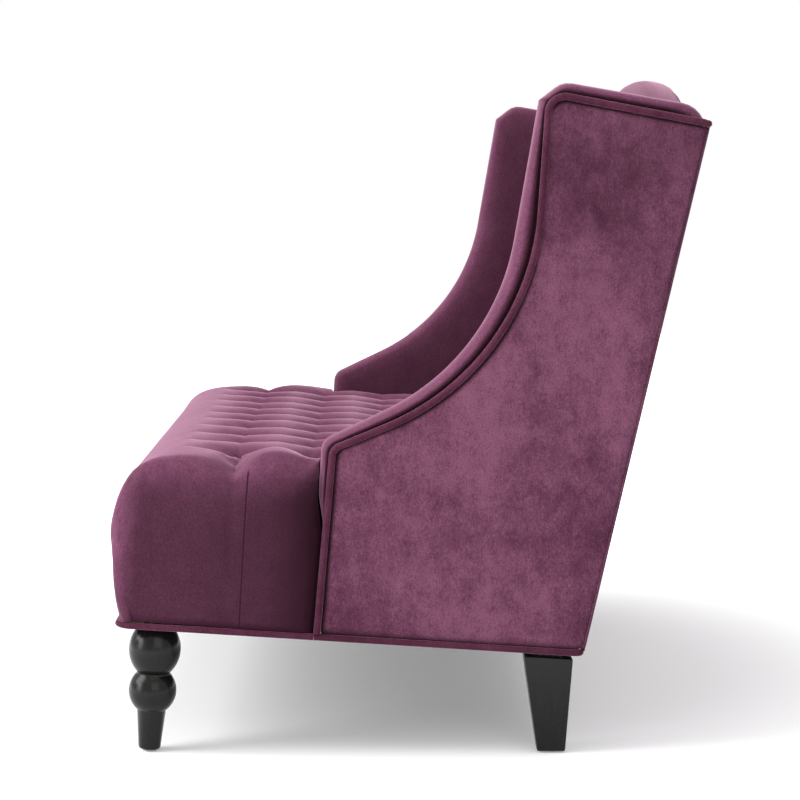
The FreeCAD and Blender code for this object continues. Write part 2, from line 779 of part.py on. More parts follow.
ARM_FRONT = "(roll_arm_y - fit)"
WELT_FRONT = "(arm_foot_y - side_welt_dia / 2 - fit)"
seat_cuts = [set_shape("seat_dimples", Part.makeCompound([dimple(*spot) for spot in seat_spots]), False)]
for side, near, far in (("left", CUSHION_HALF, REACH), ("right", "0 - " + REACH, "0 - " + CUSHION_HALF)):
    seat_cuts.append(box("arm_space_" + side, (near, ARM_FRONT, "roll_foot_z - fit"), (far, REACH, REACH)))
    seat_cuts.append(box("panel_space_" + side, (near, WELT_FRONT, "0"), (far, REACH, "roll_foot_z - fit")))
seat_cuts.append(box("rail_space", ("0 - " + SEAT_CAVITY, SEAT_CAVITY_Y, "0"),
                     (SEAT_CAVITY, REACH, "pad_foot")))
seat_cushion = seat_block
for i, tool in enumerate(seat_cuts):
    last = i == len(seat_cuts) - 1
    seat_cushion = cut("seat_cushion" if last else "seat_cut_%d" % i, seat_cushion, [tool])
keep(tilted(seat_cushion))
keep(set_shape("seat_buttons", Part.makeCompound([button(*spot) for spot in seat_spots])))


def back_across_face():
    """Section of the back across the settee, square to its front face."""

    def at(x, out):
        return on_back(0, out, x)

    half = size(CUSHION_HALF)
    edges = bent(at(-half, -2), at((columns[0] - half) / 2, -depth / 2.2), at(columns[0], -depth))
    edges += scallops(at, columns, 0, -depth)
    edges += bent(at(columns[-1], -depth), at((columns[-1] + half) / 2, -depth / 2.2), at(half, -2))
    deep = size(REACH) / 4
    return closed_face(edges, [at(half, -deep), at(-half, -deep)])


def back_along_face():
    """Section of the back from seat to crest: recessed heel, scalloped rows, plain top."""
    heel = -size("back_heel")
    recess = -size("back_recess")
    foot_z = size("pad_foot")
    behind = SKIN + " + board + web_thick + 2 * fit + 1"
    top = back_rows[-1] + size("tuft_pitch * 1.8")
    top_z = on_back(top, 0).z
    edges = scallops(on_back, [heel] + back_rows, 0, -depth)
    pitch = size("tuft_pitch")
    edges += bent(on_back(back_rows[-1], -depth), on_back(back_rows[-1] + pitch * 0.38, -depth / 5),
                  on_back(back_rows[-1] + pitch, 0))
    foot = on_back((foot_z - size("back_face_z") - recess * math.sin(lean)) / math.cos(lean), recess)
    others = [on_back(top, 0), Vector(0, size(rear(top_z, behind)), top_z),
              Vector(0, size(rear(foot_z, behind)), foot_z), foot, on_back(heel, recess)]
    return closed_face(edges, others)


back_across = extruded("back_across", set_shape("back_across_face", back_across_face(), False),
                       on_back(1, 0) - on_back(0, 0), REACH)
back_across.Placement.Base = (on_back(-1, 0) - on_back(0, 0)) * size(REACH) / 4
leaning_face = set_shape("back_along_face", back_along_face(), False)
back_along = extruded("back_along", leaning_face, Vector(1, 0, 0), REACH)
bind(back_along, "Placement.Base.x", "0 - %s / 2" % REACH)
under_arch = set_shape("under_arch_face", arch_face(size("crest_tall + fit"), 0), False)
arch_limit = extruded("arch_limit", under_arch, Vector(0, -1, 0), REACH)
arch_limit.Placement = Placement(Vector(0, size("back_foot_y"), 0),
                                 Rotation(Vector(1, 0, 0), -size("back_rake")))
back_block = common("back_block", [back_across, back_along, arch_limit])
back_dimples = set_shape("back_dimples", Part.makeCompound([dimple(*spot) for spot in back_spots]), False)
keep(tilted(cut("back_cushion", back_block, [back_dimples])))
keep(set_shape("back_buttons", Part.makeCompound([button(*spot) for spot in back_spots])))


# Suspension: zigzag springs on clips, a deck pad over them, straps up the back, and a dust cover

SPRING_GAP = "(half_width * spring_share)"


def springs():
    """Zigzag wires from the front rail to the back rail."""
    wire = size("spring_wire")
    level = size("rail_top + fit + clip_thick + fit") + wire / 2
    wave = size("spring_wave")
    turns = int(size("spring_turns"))
    end = size("spring_end")
    start_y = size("front_rail_y + clip_wide / 2")
    end_y = size(rear("rail_top", SKIN + " + clip_wide / 2"))
    step = (end_y - start_y - 2 * end) / turns
    points = [Vector(0, start_y, level), Vector(0, start_y + end, level)]
    for i in range(turns):
        sign = 1 if i % 2 else -1
        points += [Vector(sign * wave, start_y + end + step * (i + 0.25), level),
                   Vector(sign * wave, start_y + end + step * (i + 0.75), level)]
    points += [Vector(0, end_y - end, level), Vector(0, end_y, level)]
    corners = [Vector(wire / 2 * math.sin(math.radians(60 * k)), start_y,
                      level + wire / 2 * math.cos(math.radians(60 * k))) for k in range(7)]
    path = Part.makePolygon(points)
    one = path.makePipeShell([Part.makePolygon(corners)], True, False, 1)
    made = []
    for k in range(-2, 3):
        copy = one.copy()
        copy.translate(Vector(k * size(SPRING_GAP), 0, 0))
        made.append(copy)
    return made


def clips():
    """A flat clip under each end of each spring."""
    level = size("rail_top + fit")
    long = size("clip_long")
    wide = size("clip_wide")
    made = []
    ends = (size("front_rail_y + clip_wide / 4"), size(rear("rail_top", SKIN + " + clip_wide * 1.25")))
    for k in range(-2, 3):
        x = k * size(SPRING_GAP) - long / 2
        for y in ends:
            made.append(Part.makeBox(long, wide, size("clip_thick"), Vector(x, y, level)))
    return made


def straps():
    """Upright straps across the front of the back frame."""
    foot = size("(lower_rail_foot + lower_rail_top) / 2")
    top = size(TOP_RAIL_FOOT + " + top_rail_tall * 0.8")
    thick = size("web_thick")
    wide = size("web_wide")
    made = []
    inset = size(SKIN + " + board + fit")
    for k in range(6):
        x = (k - 2.5) * size("half_width * web_share")
        y0 = size(rear("%f" % foot)) - inset
        y1 = size(rear("%f" % top)) - inset
        outline = Part.makePolygon([Vector(x - wide / 2, y0, foot), Vector(x - wide / 2, y0 - thick, foot),
                                    Vector(x - wide / 2, y1 - thick, top), Vector(x - wide / 2, y1, top),
                                    Vector(x - wide / 2, y0, foot)])
        made.append(Part.Face(outline).extrude(Vector(wide, 0, 0)))
    return made


keep(set_shape("seat_springs", Part.makeCompound(springs())))
keep(set_shape("spring_clips", Part.makeCompound(clips())))
keep(set_shape("back_straps", Part.makeCompound(straps())))
DECK_HALF = "(%s - 4)" % CUSHION_HALF
DECK_FOOT = "pad_foot - fit - deck_thick"
deck_section = rectangle("front_rail_y + 2", DECK_FOOT, "back_face_y - deck_gap", "pad_foot - fit")
deck = board("seat_deck", deck_section, "0 - " + DECK_HALF, "2 * " + DECK_HALF)
keep(tilted(deck))
COVER_X = "(%s - base_welt_inset - base_welt_dia / 2 - 2)" % PANEL_FACE
COVER_REAR = rear("0", "base_welt_dia + 3")
COVER_FRONT = "seat_front_foot_y + base_welt_dia / 2 + 3"
dust_cover = board("dust_cover", rectangle(COVER_FRONT, "0", COVER_REAR, "frame_foot - fit"),
                   "0 - " + COVER_X, "2 * " + COVER_X)
keep(tilted(dust_cover))


# Legs

LEG_TOP = "(0 - plate_thick - 2 * fit)"


def turned_leg():
    """Front leg: two stacked balls over a tapered foot, turned from one profile of short tapers."""

    def ball(name, angle):
        across = "%s_curve * cos(%g) - %s_in" % (name, angle, name)
        return across, "%s_z + %s_curve * sin(%g)" % (name, name, angle)

    profile = [("0", "0 - front_leg_tall / 30"), ("front_foot_radius", "0 - front_leg_tall / 30")]
    profile += [ball("lower_ball", angle) for angle in (-49, -29, -10, 10, 28, 46)]
    profile += [ball("upper_ball", angle) for angle in (-26, -9, 9, 26)]
    profile += [("leg_top_radius", "front_leg_tall"), ("0", "front_leg_tall")]
    body = doc.addObject("PartDesign::Body", "front_leg_blank")
    spin = body.newObject("PartDesign::Revolution", "front_leg_turning")
    sketch = sketch_polygon(body, "front_leg_profile", "XZ_Plane", profile)
    spin.Profile = sketch
    spin.ReferenceAxis = (sketch, ["V_Axis"])
    spin.Angle = 360
    return tilted(body, FRONT_LEG_X, "front_leg_y", LEG_TOP + " - front_leg_tall")


def stud_hole(label, x, y):
    """A cylinder for a leg's stud, down from the leg's top."""
    hole = doc.addObject("Part::Cylinder", label)
    bind(hole, "Radius", "stud_dia / 2 + fit")
    bind(hole, "Height", "stud_long + stud_dia")
    return tilted(hole, x, y, "%s - stud_long - stud_dia / 4" % LEG_TOP)


floor_block = box("floor_block", ("0 - " + REACH, "0 - " + REACH, "0 - " + REACH),
                  (REACH, REACH, "glide_thick + fit"))
front_leg = cut("front_leg_level", turned_leg(), [floor_block])
front_leg = cut("front_leg", front_leg, [stud_hole("front_stud_hole", FRONT_LEG_X, "front_leg_y")])
keep(group("front_legs", [front_leg, mirrored(front_leg, "front_leg_right")]))


def square_leg():
    """Rear leg: a square taper from its foot to a section above its top; its y runs up."""
    wedge = doc.addObject("Part::Wedge", "rear_leg_blank")
    foot = "glide_thick + fit"
    bind(wedge, "Ymin", foot)
    bind(wedge, "Ymax", "rear_leg_blank")
    for mark, height in (("", foot), ("2", "rear_leg_blank")):
        reach = "(rear_leg_foot / 2 + rear_leg_spread * (%s))" % height
        bind(wedge, "X%smin" % mark, "%s - %s" % (REAR_LEG_X, reach))
        bind(wedge, "X%smax" % mark, "%s + %s" % (REAR_LEG_X, reach))
        rear_face = "rear_leg_rear_y + rear_leg_rear_lean * (%s)" % height
        front_face = "rear_leg_front_y + rear_leg_front_lean * (%s)" % height
        bind(wedge, "Z%smin" % mark, "0 - (shift_y + %s)" % rear_face)
        bind(wedge, "Z%smax" % mark, "0 - (shift_y + %s)" % front_face)
    wedge.Placement.Rotation = Rotation(Vector(1, 0, 0), 90)
    return wedge


above = box("above_legs", ("0", "0", "0"), ("2 * " + REACH, "2 * " + REACH, REACH))
tilted(above, "0 - " + REACH, "0 - " + REACH, LEG_TOP)
rear_leg = cut("rear_leg_level", square_leg(), [above])
rear_leg = cut("rear_leg", rear_leg, [stud_hole("rear_stud_hole", REAR_LEG_X, "rear_stud_y")])
keep(group("rear_legs", [rear_leg, mirrored(rear_leg, "rear_leg_right")]))

leg_spots = [(s * size(x), size(y)) for s in (1, -1)
             for x, y in ((FRONT_LEG_X, "front_leg_y"), (REAR_LEG_X, "rear_stud_y"))]


def leg_plates():
    """A steel plate between each leg and the underside."""
    thick = size("plate_thick")
    wide = size("plate_wide")
    level = -thick - fit
    return [Part.makeBox(wide, wide, thick, Vector(x - wide / 2, y - wide / 2, level)) for x, y in leg_spots]


def leg_studs():
    """A stud down from each plate into the leg below it."""
    radius = size("stud_dia / 2")
    top = size(LEG_TOP) + fit
    made = []
    turns = [math.radians(45 * k) for k in range(9)]
    for x, y in leg_spots:
        ring = [Vector(x + radius * math.cos(turn), y + radius * math.sin(turn), top) for turn in turns]
        made.append(Part.Face(Part.makePolygon(ring)).extrude(Vector(0, 0, -size("stud_long"))))
    return made


keep(set_shape("leg_plates", Part.makeCompound(leg_plates())))
keep(set_shape("leg_studs", Part.makeCompound(leg_studs())))


def glides():
    """A flat disc under each foot, lying on the floor."""
    front = body_frame().multVec(Vector(0, size("front_leg_y"), size(LEG_TOP + " - front_leg_tall"))).y
    back = size("shift_y + (rear_leg_front_y + rear_leg_rear_y) / 2")
    radius = size("glide_dia / 2")
    thick = size("glide_thick")
    return [Part.makeCylinder(radius, thick, Vector(s * size(x), y, 0))
            for s in (1, -1) for x, y in ((FRONT_LEG_X, front), (REAR_LEG_X, back))]


keep(set_shape("foot_glides", Part.makeCompound(glides()), placed=False))


# Check every object, then write one file per piece

doc.recompute()
for thing in doc.Objects:
    bad = [word for word in thing.State if word in ("Invalid", "Error")]
    if bad:
        raise RuntimeError("%s: %s" % (thing.Label, thing.State))
for piece in pieces:
    if piece.Shape.isNull() or not piece.Shape.isValid() or not piece.Shape.Solids:
        raise RuntimeError("%s has no valid solid" % piece.Label)

whole = FreeCAD.BoundBox()
for piece in pieces:
    piece.Shape.exportStep("parts/%s.step" % piece.Label)
    whole.add(piece.Shape.optimalBoundingBox(False, False))
    print(piece.Label, len(piece.Shape.Solids), "solid", round(piece.Shape.Volume / 1000), "cm3")
print("box", whole)
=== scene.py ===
# %% [markdown]
# # A high back settee in plum velvet
#
# The settee has a tight seat and back, both tufted with buttons on a square grid. Its wings run down
# to the arms in one S curve, edged with a padded roll and a welt. The crest is arched, the front legs
# are turned and the rear legs are square tapers.
#
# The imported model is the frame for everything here: it holds the true sizes and the hidden wood,
# springs and straps. This script keeps the hard parts and dresses them, and puts padded, sewn pieces
# in the place of the plain soft solids.

# %% Load the frame
import bpy
import bmesh
import math
from mathutils import Matrix, Vector, noise


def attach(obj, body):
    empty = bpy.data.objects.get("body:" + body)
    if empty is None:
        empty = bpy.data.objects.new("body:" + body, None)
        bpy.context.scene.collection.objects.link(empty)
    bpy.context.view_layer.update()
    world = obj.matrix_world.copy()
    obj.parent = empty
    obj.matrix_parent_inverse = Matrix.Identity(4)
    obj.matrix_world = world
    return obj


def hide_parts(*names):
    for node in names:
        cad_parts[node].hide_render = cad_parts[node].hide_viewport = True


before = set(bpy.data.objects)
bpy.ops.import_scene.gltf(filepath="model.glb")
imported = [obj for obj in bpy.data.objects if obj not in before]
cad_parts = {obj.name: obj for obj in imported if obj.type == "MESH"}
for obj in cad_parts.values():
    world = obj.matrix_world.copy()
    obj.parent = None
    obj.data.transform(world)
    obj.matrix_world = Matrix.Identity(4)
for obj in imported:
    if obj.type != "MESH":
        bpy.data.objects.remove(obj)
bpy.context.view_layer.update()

# %% [markdown]
# ## One tilted space for the upholstery
#
# The upholstered body leans back by 3.69 degrees on its legs. Everything soft is drawn level, in
# millimetres, in a body space of x, y and z with z = 0 at its underside. One matrix then takes it
# to metres and tilts it. A second matrix lies along the rear face, for the arched crest.

# %% Body space
MM = 0.001
TILT = math.radians(3.69)      # the body on its legs
RAKE = math.radians(9.174)     # the rear face against the body
LEAN = math.radians(14.47)     # the face of the back against the body
BODY_Y = -57.43                # where the body's origin lies over the floor
BODY_LIFT = 165.0
REAR_FOOT = 296.0              # the rear face at the body's underside
BODY = (Matrix.Translation((0, BODY_Y * MM, BODY_LIFT * MM)) @ Matrix.Rotation(-TILT, 4, "X")
        @ Matrix.Scale(MM, 4))
REAR = BODY @ Matrix.Translation((0, REAR_FOOT, 0)) @ Matrix.Rotation(-RAKE, 4, "X")
SIDES = ((1, "left"), (-1, "right"))

PANEL_X = 586.0                # outer face of a side
INNER_X = 520.4                # inner face of a wing
REAR_CORNER = 743.0            # height of a side's rear top corner
PITCH = 105.0                  # distance between buttons
COLUMNS = [(k - 4.5) * PITCH for k in range(10)]
SEAT_ROWS = [-208 + k * PITCH for k in range(4)]
BACK_ROWS = [80 + k * PITCH for k in range(4)]
print("rear top corner", REAR @ Vector((0, 0, 744)))

# %% [markdown]
# ## From a grid to a finished piece
#
# Most of the settee is cloth pulled over pads. Each cover starts as a flat grid of quads, and a
# function says where every corner of the grid lies. The same grid carries an attribute called shade,
# which is painted shade: it tells the velvet where to darken towards a deep tone, in crevices, pleats and
# shadows. A finished piece sits at the origin with its place in its mesh, so that patterns in object
# coordinates stay where they are.

# %% Pieces and sheets


def add_piece(name, bm, material, nodes, space=BODY):
    """Turn a bmesh in body space into a finished piece that stands for some CAD nodes."""
    bm.transform(space)
    if space.determinant() < 0:
        bmesh.ops.reverse_faces(bm, faces=bm.faces[:])
    mesh = bpy.data.meshes.new(name)
    bm.to_mesh(mesh)
    bm.free()
    mesh.shade_smooth()
    mesh.materials.append(material)
    piece = bpy.data.objects.new(name, mesh)
    bpy.context.scene.collection.objects.link(piece)
    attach(piece, "root")
    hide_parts(*nodes)
    return piece


def sheet_of_quads(columns, rows, point, shade=None):
    """A grid of quads whose corner (i, j) lies at point(i, j); shade(i, j) gives its painted shade."""
    bm = bmesh.new()
    bmesh.ops.create_grid(bm, x_segments=columns, y_segments=rows, size=1)
    layer = bm.verts.layers.float.new("shade")
    for vert in bm.verts:
        i = round((vert.co.x + 1) / 2 * columns)
        j = round((vert.co.y + 1) / 2 * rows)
        vert.co = point(i, j)
        vert[layer] = shade(i, j) if shade else 0.0
    return bm


def between(value):
    """A value held between 0 and 1."""
    return min(1.0, max(0.0, value))


def eased(value):
    """A value held between 0 and 1 and eased at both ends."""
    value = between(value)
    return value * value * (3 - 2 * value)


def bell(distance, width):
    """1 at no distance, falling to nothing well past the width."""
    return math.exp(-(distance / width) ** 2)


print("a quarter of the way, eased", eased(0.25))

# %% [markdown]
# ## Letting the cloth settle
#
# Padding presses a cover out between the places where it is sewn or buttoned down. A short cloth
# simulation shows how: pressure blows the cover up, and a vertex group holds its buttons, seams and
# edges. Every move is capped, so the drawn pleats keep their depth.

# %% Cloth pass
CLOTH_PRESSURE = 5.0
CLOTH_STIFFNESS = 6
CLOTH_FRAMES = 12
CLOTH_CAP = 0.004


def cloth_settings(cloth):
    """Weightless, fairly stiff cloth under pressure, pinned by the vertex group named held."""
    cloth.settings.vertex_group_mass = "held"
    cloth.settings.use_pressure = True
    cloth.settings.uniform_pressure_force = CLOTH_PRESSURE
    cloth.settings.effector_weights.gravity = 0
    cloth.settings.tension_stiffness = CLOTH_STIFFNESS
    cloth.settings.compression_stiffness = CLOTH_STIFFNESS
    cloth.collision_settings.use_collision = False
    cloth.point_cache.frame_end = CLOTH_FRAMES


def swell_as_cloth(piece, held):
    """Blow a cover up as cloth held at some points, and keep the result with its moves capped."""
    before = [v.co.copy() for v in piece.data.vertices]
    group = piece.vertex_groups.new(name="held")
    for v in piece.data.vertices:
        group.add([v.index], held[v.index], "REPLACE")
    cloth = piece.modifiers.new("cloth", "CLOTH")
    cloth_settings(cloth)
    for frame_number in range(1, CLOTH_FRAMES + 1):
        bpy.context.scene.frame_set(frame_number)
    ready = piece.evaluated_get(bpy.context.evaluated_depsgraph_get())
    after = [v.co.copy() for v in ready.data.vertices]
    piece.modifiers.remove(cloth)
    piece.vertex_groups.remove(group)
    moves = [b - a for a, b in zip(before, after)]
    for v, start, move, hold in zip(piece.data.vertices, before, moves, held):
        v.co = start + move * min(1.0, CLOTH_CAP / max(move.length, 1e-9)) * (1 - hold)
    bpy.context.scene.frame_set(1)
    lengths = sorted(move.length / MM for move in moves)
    middle = lengths[len(lengths) // 2]
    print(piece.name, "moved by up to", round(lengths[-1], 1), "mm before the cap, middle", round(middle, 1))


def rim_points(piece):
    """The vertices on the open edges of a piece."""
    count = {}
    for polygon in piece.data.polygons:
        for key in polygon.edge_keys:
            count[key] = count.get(key, 0) + 1
    return {index for key, uses in count.items() if uses == 1 for index in key}


print("cloth runs for", CLOTH_FRAMES, "frames")

# %% [markdown]
# ## Curves drawn as corners and radii
#
# A side's outline is the line that its welt follows. The padded roll swells outside it, so its own
# outline is a second line. Both are drawn as corners with radii, cut into the same number of runs
# between matching knots, so that point k of one lies across from point k of the other. Three hard
# points matter most: the arm's nose, the start of the S curve, and the mitre at the top corner.

# %% Outline helpers


def blend_corner(before, corner, after, radius, steps=24):
    """Points of the arc that rounds a corner."""
    back = (before - corner).normalized()
    ahead = (after - corner).normalized()
    half = back.angle(ahead) / 2
    middle = (back + ahead).normalized()
    centre = corner + middle * (radius / math.sin(half))
    first = (corner + back * (radius / math.tan(half)) - centre).normalized()
    last = (corner + ahead * (radius / math.tan(half)) - centre).normalized()
    return [centre + first.slerp(last, k / steps) * radius for k in range(steps + 1)]


def outline_runs(corners):
    """Runs between the knots of an outline given as (y, z, radius): line, arc, line, arc, line."""
    points = [Vector((y, z)) for y, z, _ in corners]
    runs = []
    last = points[0]
    for k in range(1, len(points) - 1):
        radius = corners[k][2]
        arc = [points[k]]
        if radius:
            arc = blend_corner(points[k - 1], points[k], points[k + 1], radius)
        runs.append([last, arc[0]])
        if radius:
            runs.append(arc)
        last = arc[-1]
    runs.append([last, points[-1]])
    return runs


def spaced_along(points, count):
    """The points of a polyline at count + 1 equal distances."""
    lengths = [0.0]
    for a, b in zip(points, points[1:]):
        lengths.append(lengths[-1] + (b - a).length)
    found = []
    k = 0
    for n in range(count + 1):
        want = lengths[-1] * n / count
        while k < len(points) - 2 and lengths[k + 1] < want:
            k += 1
        span = lengths[k + 1] - lengths[k]
        found.append(points[k].lerp(points[k + 1], (want - lengths[k]) / span if span else 0))
    return found


def joined(runs, counts):
    """Runs resampled to the given counts and joined end to end."""
    chain = [runs[0][0]]
    for run, count in zip(runs, counts):
        chain += spaced_along(run, count)[1:]
    return chain


def rear_y(z, inset=0):
    """The rear line of the back at a height."""
    return REAR_FOOT + math.tan(RAKE) * z - inset


print("rear edge leans out by", round(rear_y(REAR_CORNER) - rear_y(0)), "mm")

# %% Outlines of a side
PANEL_FOOT = 2.5
WELT_FOOT = 4.8
ARM_SPLIT = 150.0              # below it the roll is hidden by the seat
ARC_HALF = 12                  # half of the steps of a rounded corner
SIDE_CORNERS = [(-71.6, 265, 15), (193, 394, 344), (193, 770, 22)]
COUNTS = [8, 14, 8, 12, 30, 14, 4, 6, 26]
MITRE = sum(COUNTS[:7])


def side_outline(foot, rear_end=REAR_CORNER):
    """Seven runs up the arm's front, along the S curve, up the wing and back over its top."""
    return outline_runs([(-78, foot, 0)] + SIDE_CORNERS + [(rear_y(rear_end), REAR_CORNER, 0)])


low_run, nose, arm_top, s_curve, wing_edge, top_round, top_edge = side_outline(WELT_FOOT)
low_split = Vector((-74.4, ARM_SPLIT))
welt_runs = [[low_run[0], low_split], [low_split, low_run[1]], nose, arm_top, s_curve, wing_edge,
             top_round[:ARC_HALF + 1], top_round[ARC_HALF:], top_edge]

(front_low, front_bend, front_up, roll_nose, roll_arm, roll_curve, roll_wing, mitre_rise, mitre_round,
 roll_top, rear_round, rear_drop) = outline_runs([
     (-77.4, ARM_SPLIT, 0), (-88, 196, 60), (-88, 272, 22), (142.7, 401, 323), (181, 761, 0),
     (212, 788.5, 30), (rear_y(766), 766, 40), (rear_y(REAR_CORNER), REAR_CORNER, 0)])
pinch = roll_wing[0].lerp(roll_wing[1], 0.93)
roll_runs = [[Vector((-79.5, WELT_FOOT)), Vector((-77.4, ARM_SPLIT))], front_low + front_bend + front_up,
             roll_nose, roll_arm, roll_curve, [roll_wing[0], pinch], [pinch, roll_wing[1]],
             mitre_rise + mitre_round, roll_top + rear_round + rear_drop]
welt_line = joined(welt_runs, COUNTS)
roll_line = joined(roll_runs, COUNTS)
print("outline points", len(welt_line), len(roll_line), "mitre at", MITRE)

# %% [markdown]
# ## Velvet
#
# Velvet is a pile: it looks dark where it faces the eye and pale where it turns away, and brushing
# it one way or another leaves lighter and darker patches. A node group, shared by every velvet, adds
# noises of several sizes into those patches, and gives the fine grain of the pile as a second value.
# Small helpers keep the node code short: each makes one node and joins what feeds it.

# %% Node helpers


def new_group(name, inputs, outputs):
    """A node group with its named inputs, given as pairs of a name and a value, and its named outputs."""
    group = bpy.data.node_groups.new(name, "ShaderNodeTree")
    for title, value in inputs:
        socket = group.interface.new_socket(title, in_out="INPUT", socket_type="NodeSocketFloat")
        socket.default_value = value
    for title in outputs:
        group.interface.new_socket(title, in_out="OUTPUT", socket_type="NodeSocketFloat")
    group.nodes.new("NodeGroupInput")
    group.nodes.new("NodeGroupOutput")
    return group


def node(tree, kind, inputs=None, **settings):
    """A new node with its settings; each input is a value or the socket that feeds it."""
    made = tree.nodes.new(kind)
    for key, value in settings.items():
        setattr(made, key, value)
    for key, value in (inputs or {}).items():
        if isinstance(value, bpy.types.NodeSocket):
            tree.links.new(value, made.inputs[key])
        else:
            made.inputs[key].default_value = value
    return made


def math_node(tree, operation, a, b=0.0):
    """The result of a Math node on one or two values or sockets."""
    return node(tree, "ShaderNodeMath", {0: a, 1: b}, operation=operation).outputs[0]


def ramp(tree, value, low, high, to_low=0.0, to_high=1.0):
    """A value taken from one range to another, smoothly and clamped."""
    ends = {"Value": value, "From Min": low, "From Max": high, "To Min": to_low, "To Max": to_high}
    return node(tree, "ShaderNodeMapRange", ends, interpolation_type="SMOOTHSTEP").outputs["Result"]


def mixed(tree, share, first, second, blend="MIX"):
    """A colour mixed from two colours."""
    inputs = {"Fac": share, "Color1": first, "Color2": second}
    return node(tree, "ShaderNodeMixRGB", inputs, blend_type=blend).outputs["Color"]


print("node helpers ready")

# %% Brushed pile
PATCHES_FROM, PATCHES_TO = 0.42, 0.69
pile = new_group("brushed_pile", [("Patches From", PATCHES_FROM), ("Patches To", PATCHES_TO)],
                 ["Patches", "Grain"])
given = pile.nodes["Group Input"].outputs
where = node(pile, "ShaderNodeTexCoord").outputs["Object"]


def pile_noise(scale, detail, roughness, stretch=None, warp=0.0):
    """A noise of the pile group; stretch draws it out into strokes."""
    vector = where
    if stretch:
        vector = node(pile, "ShaderNodeMapping", {"Vector": where, "Scale": stretch}).outputs["Vector"]
    inputs = {"Vector": vector, "Scale": scale, "Detail": detail, "Roughness": roughness, "Distortion": warp}
    return node(pile, "ShaderNodeTexNoise", inputs).outputs["Fac"]


broad = pile_noise(6.5, 3.0, 0.55, warp=0.25)
middle = pile_noise(34.0, 5.0, 0.72, warp=0.35)
small = pile_noise(260.0, 3.0, 0.8)
long_strokes = pile_noise(1.0, 3.0, 0.7, (60, 45, 17), 0.4)
fine_strokes = pile_noise(1.0, 2.0, 0.6, (150, 560, 130))
strokes = math_node(pile, "ADD", long_strokes, fine_strokes)
total = math_node(pile, "MULTIPLY", broad, 0.34)
for brushing, weight in ((middle, 0.26), (small, 0.22), (strokes, 0.14)):
    total = math_node(pile, "ADD", total, math_node(pile, "MULTIPLY", brushing, weight))
patches = ramp(pile, total, given["Patches From"], given["Patches To"])
grain = pile_noise(430.0, 4.0, 0.85)
out = pile.nodes["Group Output"]
pile.links.new(patches, out.inputs["Patches"])
pile.links.new(grain, out.inputs["Grain"])
print("pile group", len(pile.nodes), "nodes")

# %% [markdown]
# ## A seam as a mask
#
# A sewn seam runs down each side of the seat's front. It is only a fine line of painted shade over a slight
# bumped groove,
# so it is drawn in the material: the mask is 1 close to one upright plane, and 0 away from the sides.

# %% Seat seam
SEAM_Y = -0.1864               # the seam's plane in body space, in metres
SEAM_HALF_WIDTH = 0.0022
seam_group = new_group("seat_seam", [("Half Width", SEAM_HALF_WIDTH)], ["Mask"])
spot = node(seam_group, "ShaderNodeTexCoord").outputs["Object"]
home = -(Matrix.Rotation(TILT, 3, "X") @ BODY.translation)
level = node(seam_group, "ShaderNodeMapping",
             {"Vector": spot, "Location": home, "Rotation": (TILT, 0, 0)}).outputs["Vector"]
level_parts = node(seam_group, "ShaderNodeSeparateXYZ", {"Vector": level})
from_seam = math_node(seam_group, "SUBTRACT", level_parts.outputs["Y"], SEAM_Y)
off_seam = math_node(seam_group, "ABSOLUTE", from_seam)
half_line = seam_group.nodes["Group Input"].outputs["Half Width"]
seam_line = ramp(seam_group, off_seam, 0.0005, half_line, 1.0, 0.0)
at_side = ramp(seam_group, math_node(seam_group, "ABSOLUTE", level_parts.outputs["X"]), 0.572, 0.580)
seam_mask = math_node(seam_group, "MULTIPLY", seam_line, at_side)
seam_group.links.new(seam_mask, seam_group.nodes["Group Output"].inputs["Mask"])
print("seam group", len(seam_group.nodes), "nodes")

# %% [markdown]
# ## The velvets
#
# The groups feed colour and bump only. The shader itself stays in each material: rough, with little
# gloss, and a rosy sheen for the pile's pale edges. Three tones are enough: the outside panels are
# brushed most, the padded covers are calmer, and the welts get a darker copy of the velvet as painted shade.

# %% Velvet materials


def velvet(name, dark, pale, deep, seams=False):
    """Plum velvet between two tones of brushed pile, and a deep tone of painted shade where the shade
    attribute or a seam asks for it.
    """
    material = bpy.data.materials.new(name)
    material.use_nodes = True
    tree = material.node_tree
    shader = tree.nodes["Principled BSDF"]
    brushed = node(tree, "ShaderNodeGroup")
    brushed.node_tree = pile
    tone = mixed(tree, brushed.outputs["Patches"], dark, pale)
    speck = ramp(tree, brushed.outputs["Grain"], 0.25, 0.75, 0.62, 1.38)
    tone = mixed(tree, 1.0, tone, speck, "MULTIPLY")
    shade = node(tree, "ShaderNodeAttribute", attribute_name="shade").outputs["Fac"]
    height = math_node(tree, "ADD", brushed.outputs["Patches"], brushed.outputs["Grain"])
    if seams:
        seam = node(tree, "ShaderNodeGroup")
        seam.node_tree = seam_group
        # painted shade along the seam line; the bump below cuts its groove
        shade = math_node(tree, "MAXIMUM", shade, math_node(tree, "MULTIPLY", seam.outputs["Mask"], 0.95))
        height = math_node(tree, "SUBTRACT", height, math_node(tree, "MULTIPLY", seam.outputs["Mask"], 3.0))
    # painted shade: the shade attribute mixes in the deep tone
    tone = mixed(tree, shade, tone, deep)
    tree.links.new(tone, shader.inputs["Base Color"])
    bump = node(tree, "ShaderNodeBump", {"Height": height, "Strength": 0.3, "Distance": 0.0005})
    tree.links.new(bump.outputs["Normal"], shader.inputs["Normal"])
    shader.inputs["Roughness"].default_value = 0.85
    shader.inputs["Specular IOR Level"].default_value = 0.12
    shader.inputs["Sheen Weight"].default_value = 0.95
    shader.inputs["Sheen Roughness"].default_value = 0.28
    shader.inputs["Sheen Tint"].default_value = (0.85, 0.50, 0.66, 1)
    return material
